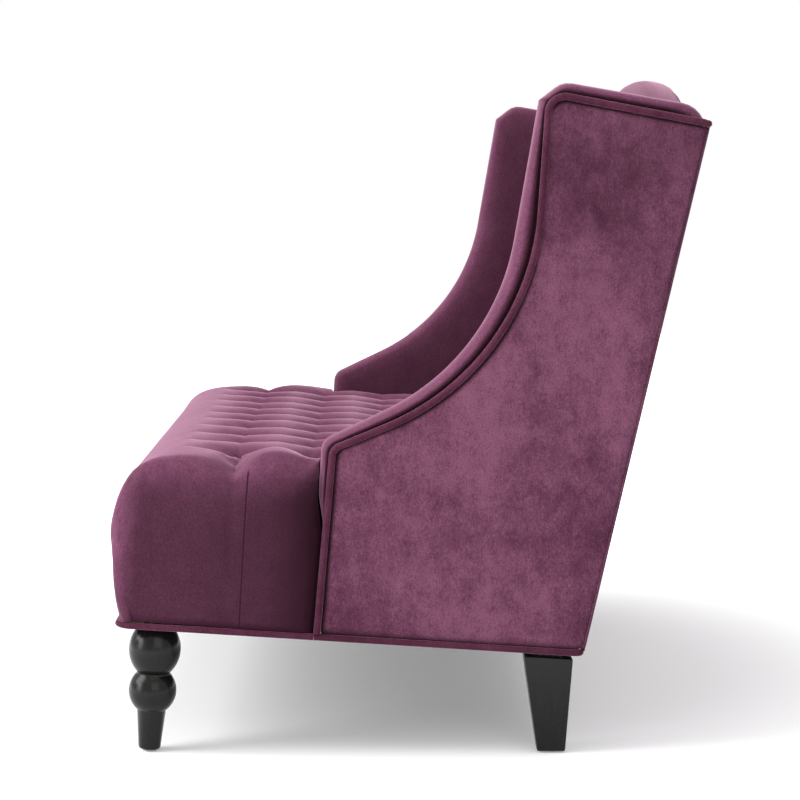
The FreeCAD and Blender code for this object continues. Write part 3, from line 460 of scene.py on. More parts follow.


# the deep tone is the colour of painted shade
PLUM_SHADE = (0.022, 0.0035, 0.010, 1)
PANEL_TONES = ((0.080, 0.021, 0.048, 1), (0.220, 0.080, 0.140, 1))
PAD_TONES = ((0.105, 0.030, 0.064, 1), (0.165, 0.056, 0.105, 1))
# painted shade: the welts are a darker copy of the same plum velvet
WELT_SHADE_TONES = ((0.052, 0.010, 0.025, 1), (0.100, 0.026, 0.054, 1))
panel_velvet = velvet("velvet_panel", *PANEL_TONES, PLUM_SHADE)
cushion_velvet = velvet("velvet_cushion", *PAD_TONES, PLUM_SHADE)
seat_velvet = velvet("velvet_seat", *PAD_TONES, PLUM_SHADE, seams=True)
shaded_welt_velvet = velvet("velvet_welt_shaded", *WELT_SHADE_TONES, PLUM_SHADE)
print("velvets", [m.name for m in bpy.data.materials if m.name.startswith("velvet")])

# %% [markdown]
# ## Tufting as one function
#
# Square tufting pulls the cover down at each button and along the straight pleats between them.
# The depth below the crown depends mostly on how far a point lies from the nearest pleat each way.
# The pleats that run from front to back are the deep ones, and small gathers fan out from a button.

# %% Tuft depth
HALF_PITCH = PITCH / 2
FRONT_REACH = 78.0             # how far a deep pleat runs on past the first row


def nearest(value, lines):
    """The distance to the nearest of some lines."""
    return min(abs(value - line) for line in lines)


def pillow(distance, half, power):
    """1 on a pleat and 0 on the crown between two pleats, with a crease at the pleat."""
    return max(0.0, 1 - distance / half) ** power


def gathers(x, along, rows, button):
    """Small folds that fan out round a button."""
    row = min(rows, key=lambda r: abs(along - r))
    column = min(COLUMNS, key=lambda c: abs(x - c))
    around = math.atan2(along - row, x - column)
    return math.cos(7 * around + 0.03 * x + 0.05 * along) * bell(button - 20, 11.0)


def tuft_depth(x, along, rows, fade_x=1.0, fade_y=1.0):
    """How far the cover lies below its crown."""
    to_column = nearest(x, COLUMNS)
    to_row = nearest(along, rows)
    reach = FRONT_REACH if along < rows[0] else HALF_PITCH
    button = math.hypot(to_column, to_row)
    pull = math.cos(math.pi / 2 * min(1.0, to_row / reach)) ** 1.5
    depth = (2.5 + 10.5 * pull) * pillow(to_column, HALF_PITCH, 2.3) * fade_x
    depth += 3.8 * pillow(to_row, HALF_PITCH, 1.9) * fade_y
    depth += 9.0 * bell(button, 17.0) * min(1, fade_x * 1.5)
    depth += (0.5 + 1.6 * pull) * math.exp(-to_column / 3.0) * fade_x
    return depth + 0.9 * gathers(x, along, rows, button) * fade_x


print("depth on a button", round(tuft_depth(COLUMNS[5], SEAT_ROWS[1], SEAT_ROWS), 1), "mm")

# %% Grid lines that crowd at the pleats
STEPS_FROM_PLEAT = [2, 5, 9, 14, 21, 30, 41, HALF_PITCH]
LEAST_STEP = 1.4


def pleated_lines(lines, low, high):
    """Grid lines that crowd together at every pleat, from low to high."""
    found = {low, high}
    for line in lines:
        found.add(line)
        for step in STEPS_FROM_PLEAT:
            found.update((round(line - step, 3), round(line + step, 3)))
    kept = []
    for value in sorted(v for v in found if low <= v <= high):
        if not kept or value - kept[-1] > LEAST_STEP:
            kept.append(value)
    return kept


seat_across = pleated_lines(COLUMNS, -530, 530)
print("grid lines across the seat", len(seat_across))

# %% [markdown]
# ## Seat cover
#
# The cover is one sheet from the front foot, over the bulged front and the brow, and back over the
# tufted top. Each side rolls down over a shoulder, where a plain side panel is sewn on. Behind the
# arm fronts the seat narrows to fit between the wings.

# %% Seat profile
FRONT_PROFILE = ((-354, 2.5), (-361, 30), (-366, 60), (-369, 96), (-370.5, 125), (-370, 150), (-367.5, 172),
                 (-362, 193), (-352, 211), (-336, 224.5), (-314, 233.5), (-288, 237.5))
TOP_FRONT, TOP_REAR = -280, 236
BROW_HEIGHT, CROWN_RISE = 237.5, 7.5
ARM_Y = -88.5                  # where the seat narrows to fit between the arms


def crown_height(y):
    """Height of the seat between pleats: lower over the brow, level behind."""
    return BROW_HEIGHT + CROWN_RISE * eased((y - FRONT_PROFILE[-1][0]) / 90)


front_run = spaced_along([Vector(p) for p in FRONT_PROFILE], 26)
top_lines = [y for y in pleated_lines(SEAT_ROWS, TOP_FRONT, TOP_REAR) if abs(y - ARM_Y) > 2.5]
top_lines = sorted(top_lines + [-95.0, -91.5, -89.0, -88.0])
profile = front_run + [Vector((y, crown_height(y))) for y in top_lines]
print("seat profile", len(profile), "points")

# %% Seat outline in plan
ROLL_FOOT = 142                # height at which the roll starts to swell past the welt
SHOULDER = 30.0


def arm_line(z):
    """Where the seat's front part ends: against the welt below, and against the roll above it."""
    if z < ROLL_FOOT:
        return -82.8 + 0.0246 * z
    return -79.3 - 9.7 * min(1.0, (z - ROLL_FOOT) / 54)


def half_width(y, z=245.0):
    """Half the seat's width: full in front of the arms, its rear corner rounded, then between them."""
    full, end = PANEL_X - 0.5, arm_line(z)
    if y > end + 0.1:
        return INNER_X - 0.4
    t = between(1 - (end - y) / 20)
    return full - 14.0 * (1 - math.sqrt(1 - t * t))


def shoulder_radius(y):
    """Radius of the edge between top and side, smaller at the front corner and between the arms."""
    if y > -89:
        return 14.0
    return SHOULDER if y > -330 else SHOULDER - 12.0 * min(1.0, (-330 - y) / 25)


def profile_normal(j):
    """The direction straight out of the seat's profile at one of its points."""
    a = profile[max(0, j - 1)]
    b = profile[min(len(profile) - 1, j + 1)]
    t = (b - a).normalized()
    return Vector((-t.y, t.x))


print("seat is", round(2 * half_width(-200)), "mm wide in front of the arms")

# %% Seat dimples at the sides
ARC = 7                        # grid steps round a shoulder
SIDE_VALLEY = (1.0, 0.35)      # how strong the valleys are on the left and on the right


def side_notch(x, y):
    """The valleys that the rows of buttons pull across the wide pillow at each side."""
    outside = eased((abs(x) - COLUMNS[-1]) / 45)
    valley = 25.0 * bell(y + 209, 26 if y > -209 else 31)
    valley += 7.0 * bell(y + 96, 28) - 5.5 * bell(y + 146, 34)
    return SIDE_VALLEY[x <= 0] * outside * valley


def corner_pinch(x, y):
    """The small dimple where the front, the side and the top are gathered together."""
    return 4.0 * bell(math.hypot(abs(x) - 574, y + 352), 7.0)


def across_seat(i, y):
    """The x of grid column i, and how far the shoulder has dropped there."""
    radius = shoulder_radius(y)
    knee = half_width(y) - radius
    last = len(seat_across) + ARC
    if ARC <= i < last:
        x = seat_across[i - ARC]
        edge = COLUMNS[-1]
        if abs(x) > edge:
            x = math.copysign(edge + (abs(x) - edge) * (knee - edge) / (seat_across[-1] - edge), x)
        return x, 0.0
    turn = ARC - i if i < ARC else i - last + 1
    angle = turn / ARC * math.pi / 2
    return math.copysign(knee + radius * math.sin(angle), i - ARC), radius * (1 - math.cos(angle))


print("valley at the left side", round(side_notch(560, -209), 1), "mm")

# %% Seat sheet


def seat_point(i, j):
    """Corner (i, j) of the seat sheet, in body space."""
    base = profile[j]
    y = base.x
    x, drop = across_seat(i, y)
    upper = max(0.0, 1 - drop / shoulder_radius(y))
    depth = 0.0
    if j >= len(front_run) - 8:
        fade = eased((y + 290) / 75)
        edge_fade = max(0.0, 1 - max(0.0, abs(x) - 500) / 86)
        depth = tuft_depth(x, y, SEAT_ROWS, fade * edge_fade, fade if y < -150 else fade * edge_fade)
        depth += side_notch(x, y) * upper
        depth -= 3.0 * fade * math.sin(math.pi * between((abs(x) - COLUMNS[-1]) / 110))
    depth += corner_pinch(x, y)
    swell = noise.noise(Vector((x * 0.006, y * 0.006, 3.1))) * 1.6 + 3.5 * x / PANEL_X
    swell *= upper * between((base.y - 200) / 30)
    low = profile_normal(j) * (swell - drop - depth)
    return Vector((x, y + low.x, base.y + low.y))


def seat_side_shade(y, z):
    """Painted shade on the seat's side, partly for its pile lying another way: darkest against the arm and at
    the foot.
    """
    dark = 0.60 + 0.14 * between((y + 260) / 120)
    dark += 0.28 * between((y + 150) / 60)
    lift = between((236 + 0.15 * max(0.0, y + 190) - z) / 76)
    front = between((y + 371) / 38)
    return min(1.0, dark * lift * (2 - lift) * front + 0.5 * max(0.0, 1 - (z - 3) / 8))


def seat_shade(i, j):
    """Painted shade: down the sides, in the pleats, round the buttons and at the corner's pinch."""
    at = seat_point(i, j)
    turn = max(0, ARC - i, i - len(seat_across) - ARC + 1) / ARC
    shade = seat_side_shade(at.y, at.z) * turn ** 0.7
    if abs(at.x) < 520 and j >= len(front_run):
        to_column, to_row = nearest(at.x, COLUMNS), nearest(at.y, SEAT_ROWS)
        near_row = 0.3 + 0.7 * pillow(to_row, HALF_PITCH, 0.8)
        shade = max(shade, 0.55 * math.exp(-to_column / 12.0) * near_row)
        shade = max(shade, 0.9 * bell(math.hypot(to_column, to_row), 14))
    return max(shade, 0.2 * corner_pinch(at.x, at.y))


SEAT_EDGE = len(seat_across) + 2 * ARC - 1
seat_bm = sheet_of_quads(SEAT_EDGE, len(profile) - 1, seat_point, seat_shade)
bmesh.ops.recalc_face_normals(seat_bm, faces=seat_bm.faces[:])
print("seat sheet", len(seat_bm.verts), "corners")

# %% [markdown]
# ## The seat's plain sides
#
# A panel closes each side of the seat's front. Its grid starts from the sheet's own rim, so that the two
# can be merged without a gap. Its four edges are the front, the upper edge, the foot, and the line where
# it meets the arm; the middle is blended from all four.

# %% Seat side panels
RIM_CORNER = Vector((-343, 205))


def side_panel_bm():
    """A plain panel on one side of the seat front, from the shoulder down to the base welt."""
    kept = [j for j in range(len(profile)) if profile[j].x <= -89 or j < len(front_run)]
    rim = [Vector(seat_point(SEAT_EDGE, j).yz) for j in kept]
    corner = min(range(len(rim)), key=lambda k: (rim[k] - RIM_CORNER).length)
    rows, columns = corner, len(rim) - 1 - corner
    front, upper = rim[:corner + 1], rim[corner:]
    shares = [(p.x - upper[0].x) / (upper[-1].x - upper[0].x) for p in upper]
    foot = [front[0].lerp(Vector((arm_line(PANEL_FOOT), PANEL_FOOT)), share) for share in shares]
    by_arm = [Vector((arm_line(z), z)) for z in range(10, 206, 5)]
    rear = spaced_along([foot[-1]] + by_arm + [upper[-1]], rows)

    def point(i, j):
        """Corner (i, j) of the panel: i from front to rear, j upwards."""
        u, v = shares[i], j / rows
        flat = foot[i].lerp(upper[i], v) + front[j].lerp(rear[j], u)
        flat -= (foot[0].lerp(foot[-1], u)).lerp(upper[0].lerp(upper[-1], u), v)
        swell = math.sin(math.pi * min(1.0, u * 1.1)) * math.sin(math.pi * v)
        swell = 4.0 * max(0.0, swell) ** 0.7
        swell -= 2.2 * bell(flat.x + 207.5, 10) * math.sin(math.pi * v) ** 0.5
        swell -= 3.0 * max(0.0, 1 - v * rows / 3) ** 2
        inside = between((arm_line(flat.y) - flat.x) / 20)
        return Vector((half_width(flat.x, flat.y) + swell * inside, flat.x, flat.y))

    def shade(i, j):
        """Painted shade of the panel, the same as on the seat's side."""
        at = point(i, j)
        return seat_side_shade(at.y, at.z)

    return sheet_of_quads(columns, rows, point, shade)


for side, label in SIDES:
    side_bm = side_panel_bm()
    side_bm.transform(Matrix.Diagonal((side, 1, 1, 1)))
    if side < 0:
        bmesh.ops.reverse_faces(side_bm, faces=side_bm.faces[:])
    side_mesh = bpy.data.meshes.new("seat_side_" + label)
    side_bm.to_mesh(side_mesh)
    seat_bm.from_mesh(side_mesh)
    side_bm.free()
bmesh.ops.remove_doubles(seat_bm, verts=seat_bm.verts[:], dist=0.3)
seat_cover = add_piece("seat_cover", seat_bm, seat_velvet, ["seat_cushion"])
print("seat cover faces", len(seat_cover.data.polygons))

# %% Seat cloth pass
to_body = BODY.inverted()
BUTTON_HOLD = 9                # radius within which a button holds the cover fully


def held_weights(piece, button_gap):
    """Held fully at buttons and open edges, less round a button, and more towards the foot."""
    rim = rim_points(piece)
    weights = []
    for v in piece.data.vertices:
        at = to_body @ v.co
        gap = button_gap(at)
        hold = 0.5 * bell(max(0.0, gap - BUTTON_HOLD), 8) + max(0.0, 1 - at.z / 130)
        weights.append(1.0 if v.index in rim or gap < BUTTON_HOLD else min(1.0, hold))
    return weights


def seat_gap(at):
    """How far a point of the seat lies from the nearest button."""
    if at.z < 200:
        return 99.0
    return math.hypot(nearest(at.x, COLUMNS), nearest(at.y, SEAT_ROWS))


swell_as_cloth(seat_cover, held_weights(seat_cover, seat_gap))
print("seat cover's open edge", len(rim_points(seat_cover)), "points")

# %% [markdown]
# ## Back cover
#
# The back is the same tufting on a leaning face. Its sides tuck in at the wings, its foot at the
# seat, and its top under the arched crest.

# %% The crest's arch and the leaning face
ARCH_FOOT = 744                # height of the arch at the sides, up the rear face
ARCH_HALF_RISE = 41.5
FACE_Y, FACE_Z = 225, 260      # where the leaning face starts, at the rear of the seat


def arch_height(x):
    """Height of the crest up the rear face: two arcs a side, met at the same slope."""
    rise, span = ARCH_HALF_RISE, PANEL_X / 2
    radius = (span * span + rise * rise) / (2 * rise)
    if abs(x) <= span:
        return ARCH_FOOT + 2 * rise - radius + math.sqrt(radius * radius - x * x)
    return ARCH_FOOT + radius - math.sqrt(radius * radius - (PANEL_X - abs(x)) ** 2)


def on_back(x, along, out):
    """A point of the leaning face: along it upwards, and out from it to the front."""
    return Vector((x, FACE_Y + along * math.sin(LEAN) - out * math.cos(LEAN),
                   FACE_Z + along * math.cos(LEAN) + out * math.sin(LEAN)))


print("arch rises", round(arch_height(0) - arch_height(PANEL_X)), "mm")

# %% Back sheet
CUSHION_X = 518                # the back ends here, between the wings
back_across = pleated_lines(COLUMNS, -CUSHION_X, CUSHION_X)
back_up = pleated_lines(BACK_ROWS, -22, 470)


def back_point(i, j):
    """Corner (i, j) of the back sheet; above the last row it stretches up to the crest."""
    x = back_across[i]
    low, last = back_up[0], BACK_ROWS[-1]
    along = back_up[j]
    top = (arch_height(x) - 44) * math.cos(RAKE)
    top = (top - FACE_Z) / math.cos(LEAN)
    share = 0.0
    if along > last:
        share = (along - last) / (back_up[-1] - last)
        along = last + share * (top - last)
    fade = 1 - share * 0.75
    tuck = max(0.0, (abs(x) - 490) / 28)
    depth = tuft_depth(x, min(along, last + 52), BACK_ROWS, fade, fade) + 9 * tuck ** 2
    depth += 7 * max(0.0, share - 0.85) / 0.15
    depth += 8 * max(0.0, (low + 22 - along) / 22) ** 2
    return on_back(x, along, 1.5 - depth)


def back_shade(i, j):
    """Painted shade in the pleats and round the buttons."""
    to_column, to_row = nearest(back_across[i], COLUMNS), nearest(back_up[j], BACK_ROWS)
    pleat = math.exp(-to_column / 9.0) * (0.3 + 0.7 * pillow(to_row, HALF_PITCH, 0.8))
    return max(0.45 * pleat, 0.85 * bell(math.hypot(to_column, to_row), 14))


back_bm = sheet_of_quads(len(back_across) - 1, len(back_up) - 1, back_point, back_shade)
back_cover = add_piece("back_cover", back_bm, cushion_velvet, ["back_cushion"])
print("back cover faces", len(back_cover.data.polygons))

# %% Back cloth pass


def back_gap(at):
    """How far a point of the back lies from the nearest button."""
    along = (at.z - FACE_Z) * math.cos(LEAN) + (at.y - FACE_Y) * math.sin(LEAN)
    return math.hypot(nearest(at.x, COLUMNS), nearest(along, BACK_ROWS))


swell_as_cloth(back_cover, held_weights(back_cover, back_gap))
print("back cover's open edge", len(rim_points(back_cover)), "points")

# %% [markdown]
# ## Covered buttons
#
# Each button is a low dome of the same velvet, pulled down to the bottom of its dimple. A flattened
# ball does for all of them, with few faces because there are eighty.

# %% Buttons
BUTTON_RADIUS = 10.5
BUTTON_FLAT = 0.42


def buttons_bm(spots):
    """Low domes, one at each placement matrix."""
    bm = bmesh.new()
    for spot in spots:
        made = bmesh.ops.create_uvsphere(bm, u_segments=20, v_segments=10, radius=BUTTON_RADIUS)
        bmesh.ops.scale(bm, vec=(1, 1, BUTTON_FLAT), verts=made["verts"])
        bmesh.ops.transform(bm, matrix=spot, verts=made["verts"])
    return bm


seat_spots = []
for x in COLUMNS:
    for y in SEAT_ROWS:
        top = crown_height(y) - tuft_depth(x, y, SEAT_ROWS)
        seat_spots.append(Matrix.Translation((x, y, top + 3.5)))
back_spots = []
for x in COLUMNS:
    for along in BACK_ROWS:
        at = on_back(x, along, 5.0 - tuft_depth(x, along, BACK_ROWS))
        back_spots.append(Matrix.Translation(at) @ Matrix.Rotation(math.pi / 2 - LEAN, 4, "X"))
add_piece("seat_button_tops", buttons_bm(seat_spots), cushion_velvet, ["seat_buttons"])
add_piece("back_button_tops", buttons_bm(back_spots), cushion_velvet, ["back_buttons"])
print("buttons", len(seat_spots) + len(back_spots))

# %% [markdown]
# ## Wings
#
# One cover wraps each side: it starts at the welt, swells over the roll, turns round the front edge
# and runs on as the smooth inner face, which ends out of sight behind the cushions. The section is
# given as pairs: how far out to the side, and how far across the band from the welt to the roll's edge.

# %% Wing covers
ROLL_SECTION = [(574, 0.02), (570.5, 0.18), (571.5, 0.28), (575.5, 0.38), (578.5, 0.50), (578.2, 0.64),
                (574, 0.80), (566, 0.92), (556, 0.985), (547, 1.0), (537, 0.965), (529, 0.87), (524, 0.72),
                (521.6, 0.52), (520.9, 0.28)]
INNER_STEPS = 14
# painted shade in the ditch beside the welt, darkest next to it
DITCH_SHADE = (1.0, 1.0, 0.9, 0.45, 0.12)
spine_low, spine_corner = Vector((-30, ARM_SPLIT)), Vector((252, ARM_SPLIT))
spine = spaced_along([Vector((-62, WELT_FOOT)), spine_low], COUNTS[0])
spine += spaced_along([spine_low, spine_corner], sum(COUNTS[1:4]))[1:]
spine += spaced_along([spine_corner, Vector((372, 700))], sum(COUNTS[4:]))[1:]


def wing_point(i, j):
    """Corner (i, j) of a wing cover: i runs along the outline, j round its section."""
    start, edge = welt_line[i], roll_line[i]
    band = edge - start
    if j < len(ROLL_SECTION):
        x, out = ROLL_SECTION[j]
        flat = start + band * out
        return Vector((x, flat.x, flat.y))
    share = (j - len(ROLL_SECTION) + 1) / INNER_STEPS
    first = start + band * 0.28
    flat = first.lerp(spine[i], share ** 1.25)
    crown = 3.0 * math.sin(math.pi * min(1.0, share * 1.6)) if share < 0.625 else 0.0
    return Vector((520.9 - crown, flat.x, flat.y))


def wing_shade(i, j):
    """Painted shade: dark in the ditch beside the welt, behind the seat's side, on the inner face (more so
    lower down) and in a crease at the mitre.
    """
    if i < COUNTS[0]:
        return 1.0
    if j < len(DITCH_SHADE):
        return DITCH_SHADE[j]
    inner = between((j - len(ROLL_SECTION) + 4) / 5)
    low = 0.12 * between((500 - wing_point(i, j).z) / 250)
    mitre = 0.5 if i == MITRE and j < 10 else 0.0
    return (0.56 + low) * inner + mitre


for side, label in SIDES:
    wing_bm = sheet_of_quads(len(welt_line) - 1, len(ROLL_SECTION) + INNER_STEPS - 1, wing_point, wing_shade)
    add_piece("wing_cover_" + label, wing_bm, cushion_velvet, ["edge_roll_" + label, "inner_pad_" + label],
              space=BODY @ Matrix.Diagonal((side, 1, 1, 1)))
print("wing covers", len(welt_line), "by", len(ROLL_SECTION) + INNER_STEPS, "corners each")

# %% [markdown]
# ## Crest
#
# The crest is a padded roll over the arched top, with a blind seam near its rear edge. One section is
# carried along the arch and kept square to it. The section's pairs are how deep a point lies in front
# of the rear face, and how far below the arch.

# %% Crest roll
CREST_SECTION = [(-5.6, 46), (-5.0, 30), (-4.6, 19), (-5.2, 13), (-7.2, 7.6), (-12.5, 2.8), (-21, 0.4),
                 (-33, 0), (-46, 1.8), (-57, 6.4), (-65.5, 13.4), (-71.5, 22), (-74.5, 31), (-75, 40),
                 (-71, 48), (-62, 53)]
CREST_STEPS = 70
SEAM_STEP = 3


def crest_point(i, j):
    """Corner (i, j) of the crest: i across the settee, j round the section."""
    x = -CUSHION_X + 2 * CUSHION_X * i / CREST_STEPS
    slope = (arch_height(x + 1) - arch_height(x - 1)) / 2
    out = Vector((-slope, 0, 1)).normalized()
    deep, down = CREST_SECTION[j]
    return Vector((x, deep, arch_height(x))) - out * down


def crest_shade(i, j):
    """Painted shade: a dark line at the blind seam near the rear edge, and a light shade all over the roll.
    """
    return 0.7 if j == SEAM_STEP else 0.28


crest_bm = sheet_of_quads(CREST_STEPS, len(CREST_SECTION) - 1, crest_point, crest_shade)
bmesh.ops.reverse_faces(crest_bm, faces=crest_bm.faces[:])
crest_cover = add_piece("crest_cover", crest_bm, cushion_velvet, ["crest_roll"],
                        space=REAR)
print("crest faces", len(crest_cover.data.polygons))

# %% [markdown]
# ## Outside panels
#
# The outside of each side and of the back is velvet stretched over a thin pad. The welt lies in a
# narrow ditch round it, so the panel falls away at its edges; on the sides, painted shade darkens the ditch,
# the foot and the rear edge. A few puckers run in from the welt near the top, drawn only as streaks of
# painted shade, and the pile is darker in noisy patches towards the top. The grid's columns follow the welt's
# line, and its rows crowd at the ditch.

# %% Side panels
PANEL_COUNTS = [16, 6, 10, 28, 12, 8, 64]
PANEL_ROWS = 30
DITCH_ROWS = (0, 4.8, 6.2, 8.0, 10.5, 14.0)
PUCKERS = [(262, 34, 1), (272, 26, -1), (240, 18, 1), (318, 15, 1)]
PANEL_FALL = 8.0


def panel_bm():
    """The outside of one side, from the welt line to the rear edge."""
    chain = joined(side_outline(PANEL_FOOT), PANEL_COUNTS)
    columns = len(chain) - 1
    rear_line = spaced_along([Vector((rear_y(PANEL_FOOT), PANEL_FOOT)), chain[-1]], columns)

    def point(i, j):
        """Corner (i, j) of the panel: i along the welt, j away from it."""
        reach = max(1.0, (rear_line[i] - chain[i]).length)
        last = len(DITCH_ROWS) - 1
        ease = DITCH_ROWS[min(j, last)] / reach
        if j > last:
            ease += (1 - ease) * ((j - last) / (PANEL_ROWS - last)) ** 1.15
        inner = chain[i].lerp(rear_line[i], min(1.0, ease))
        fall = 7.5 * (1 - min(max((inner - chain[i]).length - 5, 0), 8) / 8) ** 2
        fall += 6.0 * max(0.0, 1 - (rear_y(inner.y) - inner.x) / 7) ** 2
        fall += 4.0 * max(0.0, 1 - (inner.y - 6) / 10) ** 2
        return Vector((PANEL_X - min(fall, PANEL_FALL), inner.x, inner.y))

    def shade(i, j):
        """Painted shade in the ditch, in the puckers and at the foot and rear edges; darker in noisy patches
        near the top.
        """
        at = point(i, j)
        gap = (Vector((at.y, at.z)) - chain[i]).length
        dark = min(1.0, 1.1 * max(0.0, 1 - max(0.0, gap - 5.5) / 6))
        for place, length, way in PUCKERS:
            off = (at.y - place) * way + (at.z - 765) * 0.25
            dark = max(dark, 0.75 * bell(off, 3.5) * max(0.0, 1 - gap / length))
        dark = max(dark, 0.7 * max(0.0, 1 - (at.z - 5) / 9))
        brushed = noise.noise(Vector((at.y * 0.012 + at.z * 0.006, at.z * 0.016 - at.y * 0.004, 7.7)))
        dark = max(dark, (0.26 + 0.22 * brushed) * between((at.z - 400) / 250))
        return max(dark, 0.8 * max(0.0, 1 - abs(rear_y(at.z) - at.y - 4.5) / 3))

    return sheet_of_quads(columns, PANEL_ROWS, point, shade)


for side, label in SIDES:
    panel = add_piece("outside_cover_" + label, panel_bm(), panel_velvet, ["outside_panel_" + label],
                      space=BODY @ Matrix.Diagonal((side, 1, 1, 1)))
print("side panel faces", len(panel.data.polygons))

# %% Back panel
REAR_X = 585
REAR_LOW = 8
REAR_COLUMNS, REAR_ROWS = 60, 40


def rear_point(i, j):
    """Corner (i, j) of the outside back, flat but for its rolled edges: i across, j up to the arch."""
    x = -REAR_X + 2 * REAR_X * i / REAR_COLUMNS
    top = arch_height(x) - 9
    z = REAR_LOW + (top - REAR_LOW) * j / REAR_ROWS
    fall = 3.5 * max(0.0, 1 - (REAR_X - abs(x)) / 8) ** 2 + 3.0 * max(0.0, 1 - (top - z) / 8) ** 2
    return Vector((x, -fall - 0.4, z))


rear_bm = sheet_of_quads(REAR_COLUMNS, REAR_ROWS, rear_point)
rear_cover = add_piece("outside_cover_rear", rear_bm, panel_velvet, ["outside_back_panel"],
                       space=REAR)
print("back panel faces", len(rear_cover.data.polygons))

# %% [markdown]
# ## Welts
#
# A welt is a cord in a velvet sleeve, sewn into the seam. Each is a curve with a round bevel along the
# same lines as the panels' edges. The side welts turn in at the rear corner, where they are tucked away.

# %% Welt cords
SIDE_WELT_X, SIDE_WELT_RADIUS = 585.2, 5.0
SIDE_WELT_COUNTS = [20, 10, 12, 40, 14, 12, 20]
TUCKED_END = ((0.3, -8), (1.8, -5.4), (4.5, -3.6), (14, -2.8))


def welt(name, points, radius, nodes):
    """A round cord of velvet through points in body space."""
    curve = bpy.data.curves.new(name, "CURVE")
    curve.dimensions = "3D"
    curve.bevel_depth = radius * MM
    curve.bevel_resolution = 5
    curve.use_fill_caps = True
    spline = curve.splines.new("POLY")
    spline.points.add(len(points) - 1)
    for target, point in zip(spline.points, points):
        target.co = (*(BODY @ point), 1)
    curve.materials.append(shaded_welt_velvet)
    piece = bpy.data.objects.new(name, curve)
    bpy.context.scene.collection.objects.link(piece)
    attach(piece, "root")
    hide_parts(*nodes)
    return piece


for side, label in SIDES:
    chain = joined(side_outline(WELT_FOOT, REAR_CORNER + 3), SIDE_WELT_COUNTS)
    end = chain[-1]
    cord = [Vector((side * SIDE_WELT_X, p.x, p.y)) for p in chain[:-1]]
    cord += [Vector((side * (SIDE_WELT_X - inward), end.x + out, end.y)) for inward, out in TUCKED_END]
    welt("side_cord_" + label, cord, SIDE_WELT_RADIUS, ["side_welt_" + label])
print("side welts have", len(cord), "points each")

# %% Base welts
BASE_X, BASE_WELT_RADIUS = 582.5, 4.5


def base_line(end_y, far_y, radius):
    """A line round three sides of the underside, with its two corners rounded."""
    turn = math.copysign(radius, end_y - far_y)
    corner = [Vector((BASE_X - radius + radius * math.cos(a), far_y + turn - turn * math.sin(a), 0))
              for a in [math.pi / 2 * k / 10 for k in range(11)]]
    near = [Vector((BASE_X, end_y, 0))] + corner
    return near + [Vector((-p.x, p.y, p.z)) for p in reversed(near)]


front_line = base_line(-82.3, -356, 20)
rear_welt_line = base_line(-82.0, rear_y(0, BASE_WELT_RADIUS), 10)
welt("base_cord_front", front_line, BASE_WELT_RADIUS, ["bottom_welt_front"])
welt("base_cord_rear", rear_welt_line, BASE_WELT_RADIUS, ["bottom_welt_rear"])
print("base welts have", len(front_line), "points each")

# %% [markdown]
# ## Inside the settee
#
# The frame, springs and straps are hidden by the velvet, but they keep their own shapes from the model
# and get real materials: beech, plywood, jute webbing, black cambric, steel, felt and nylon.

# %% Materials of the hidden parts


def grained(name, dark, pale, scale, stretch, rough, metal=0.0, bump=0.2):
    """A material whose two tones follow a stretched noise, with the same noise as bump."""
    material = bpy.data.materials.new(name)
    material.use_nodes = True
    tree = material.node_tree
    shader = tree.nodes["Principled BSDF"]
    spot = node(tree, "ShaderNodeTexCoord").outputs["Object"]
    drawn = node(tree, "ShaderNodeMapping", {"Vector": spot, "Scale": stretch}).outputs["Vector"]
    grain_noise = {"Vector": drawn, "Scale": scale, "Detail": 5.0, "Distortion": 0.4}
    figure = node(tree, "ShaderNodeTexNoise", grain_noise).outputs["Fac"]
    tree.links.new(mixed(tree, figure, dark, pale), shader.inputs["Base Color"])
    dent = node(tree, "ShaderNodeBump", {"Height": figure, "Strength": bump, "Distance": 0.0005})
    tree.links.new(dent.outputs["Normal"], shader.inputs["Normal"])
    shader.inputs["Roughness"].default_value = rough
    shader.inputs["Metallic"].default_value = metal
    return material


EVEN = (1, 1, 1)
print("one maker for all the hidden finishes")

# %% Finishes of the hidden parts
HIDDEN = {
    "frame_wood": grained("beech", (0.36, 0.22, 0.12, 1), (0.56, 0.38, 0.23, 1), 4.0, (3, 40, 40), 0.6),
    "plywood": grained("plywood_sheet", (0.42, 0.29, 0.17, 1), (0.60, 0.45, 0.30, 1), 4.0, (60, 4, 9), 0.65),
    "webbing": grained("jute_webbing", (0.20, 0.13, 0.07, 1), (0.45, 0.33, 0.20, 1), 260.0, (1, 3, 1), 0.9,
                       bump=0.7),
    "cambric": grained("black_cambric", (0.006, 0.006, 0.006, 1), (0.020, 0.020, 0.020, 1), 900.0, EVEN, 0.9),
    "nylon": grained("nylon_glide", (0.62, 0.61, 0.58, 1), (0.70, 0.69, 0.66, 1), 80.0, EVEN, 0.4, bump=0.1),
    "zinc_steel": grained("zinc_plate", (0.45, 0.46, 0.48, 1), (0.64, 0.65, 0.66, 1), 60.0, EVEN, 0.35,
                          metal=1.0, bump=0.1),
    "spring_steel": grained("spring_wire", (0.10, 0.10, 0.11, 1), (0.26, 0.26, 0.28, 1), 90.0, EVEN, 0.4,
                            metal=1.0, bump=0.1),
    "felt": grained("felt_pad", (0.10, 0.095, 0.09, 1), (0.20, 0.19, 0.18, 1), 400.0, EVEN, 0.95, bump=0.6),
}
dressed = 0
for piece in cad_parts.values():
    slot_name = piece.data.materials[0].name.split(".")[0]
    if slot_name in HIDDEN:
        piece.material_slots[0].material = HIDDEN[slot_name]
        dressed += 1
print("hidden parts dressed", dressed)

# %% [markdown]
# ## Legs
#
# The front legs are turned: a profile spun about its own axis. The rear legs are square tapers with
# softened edges. Both are satin black.

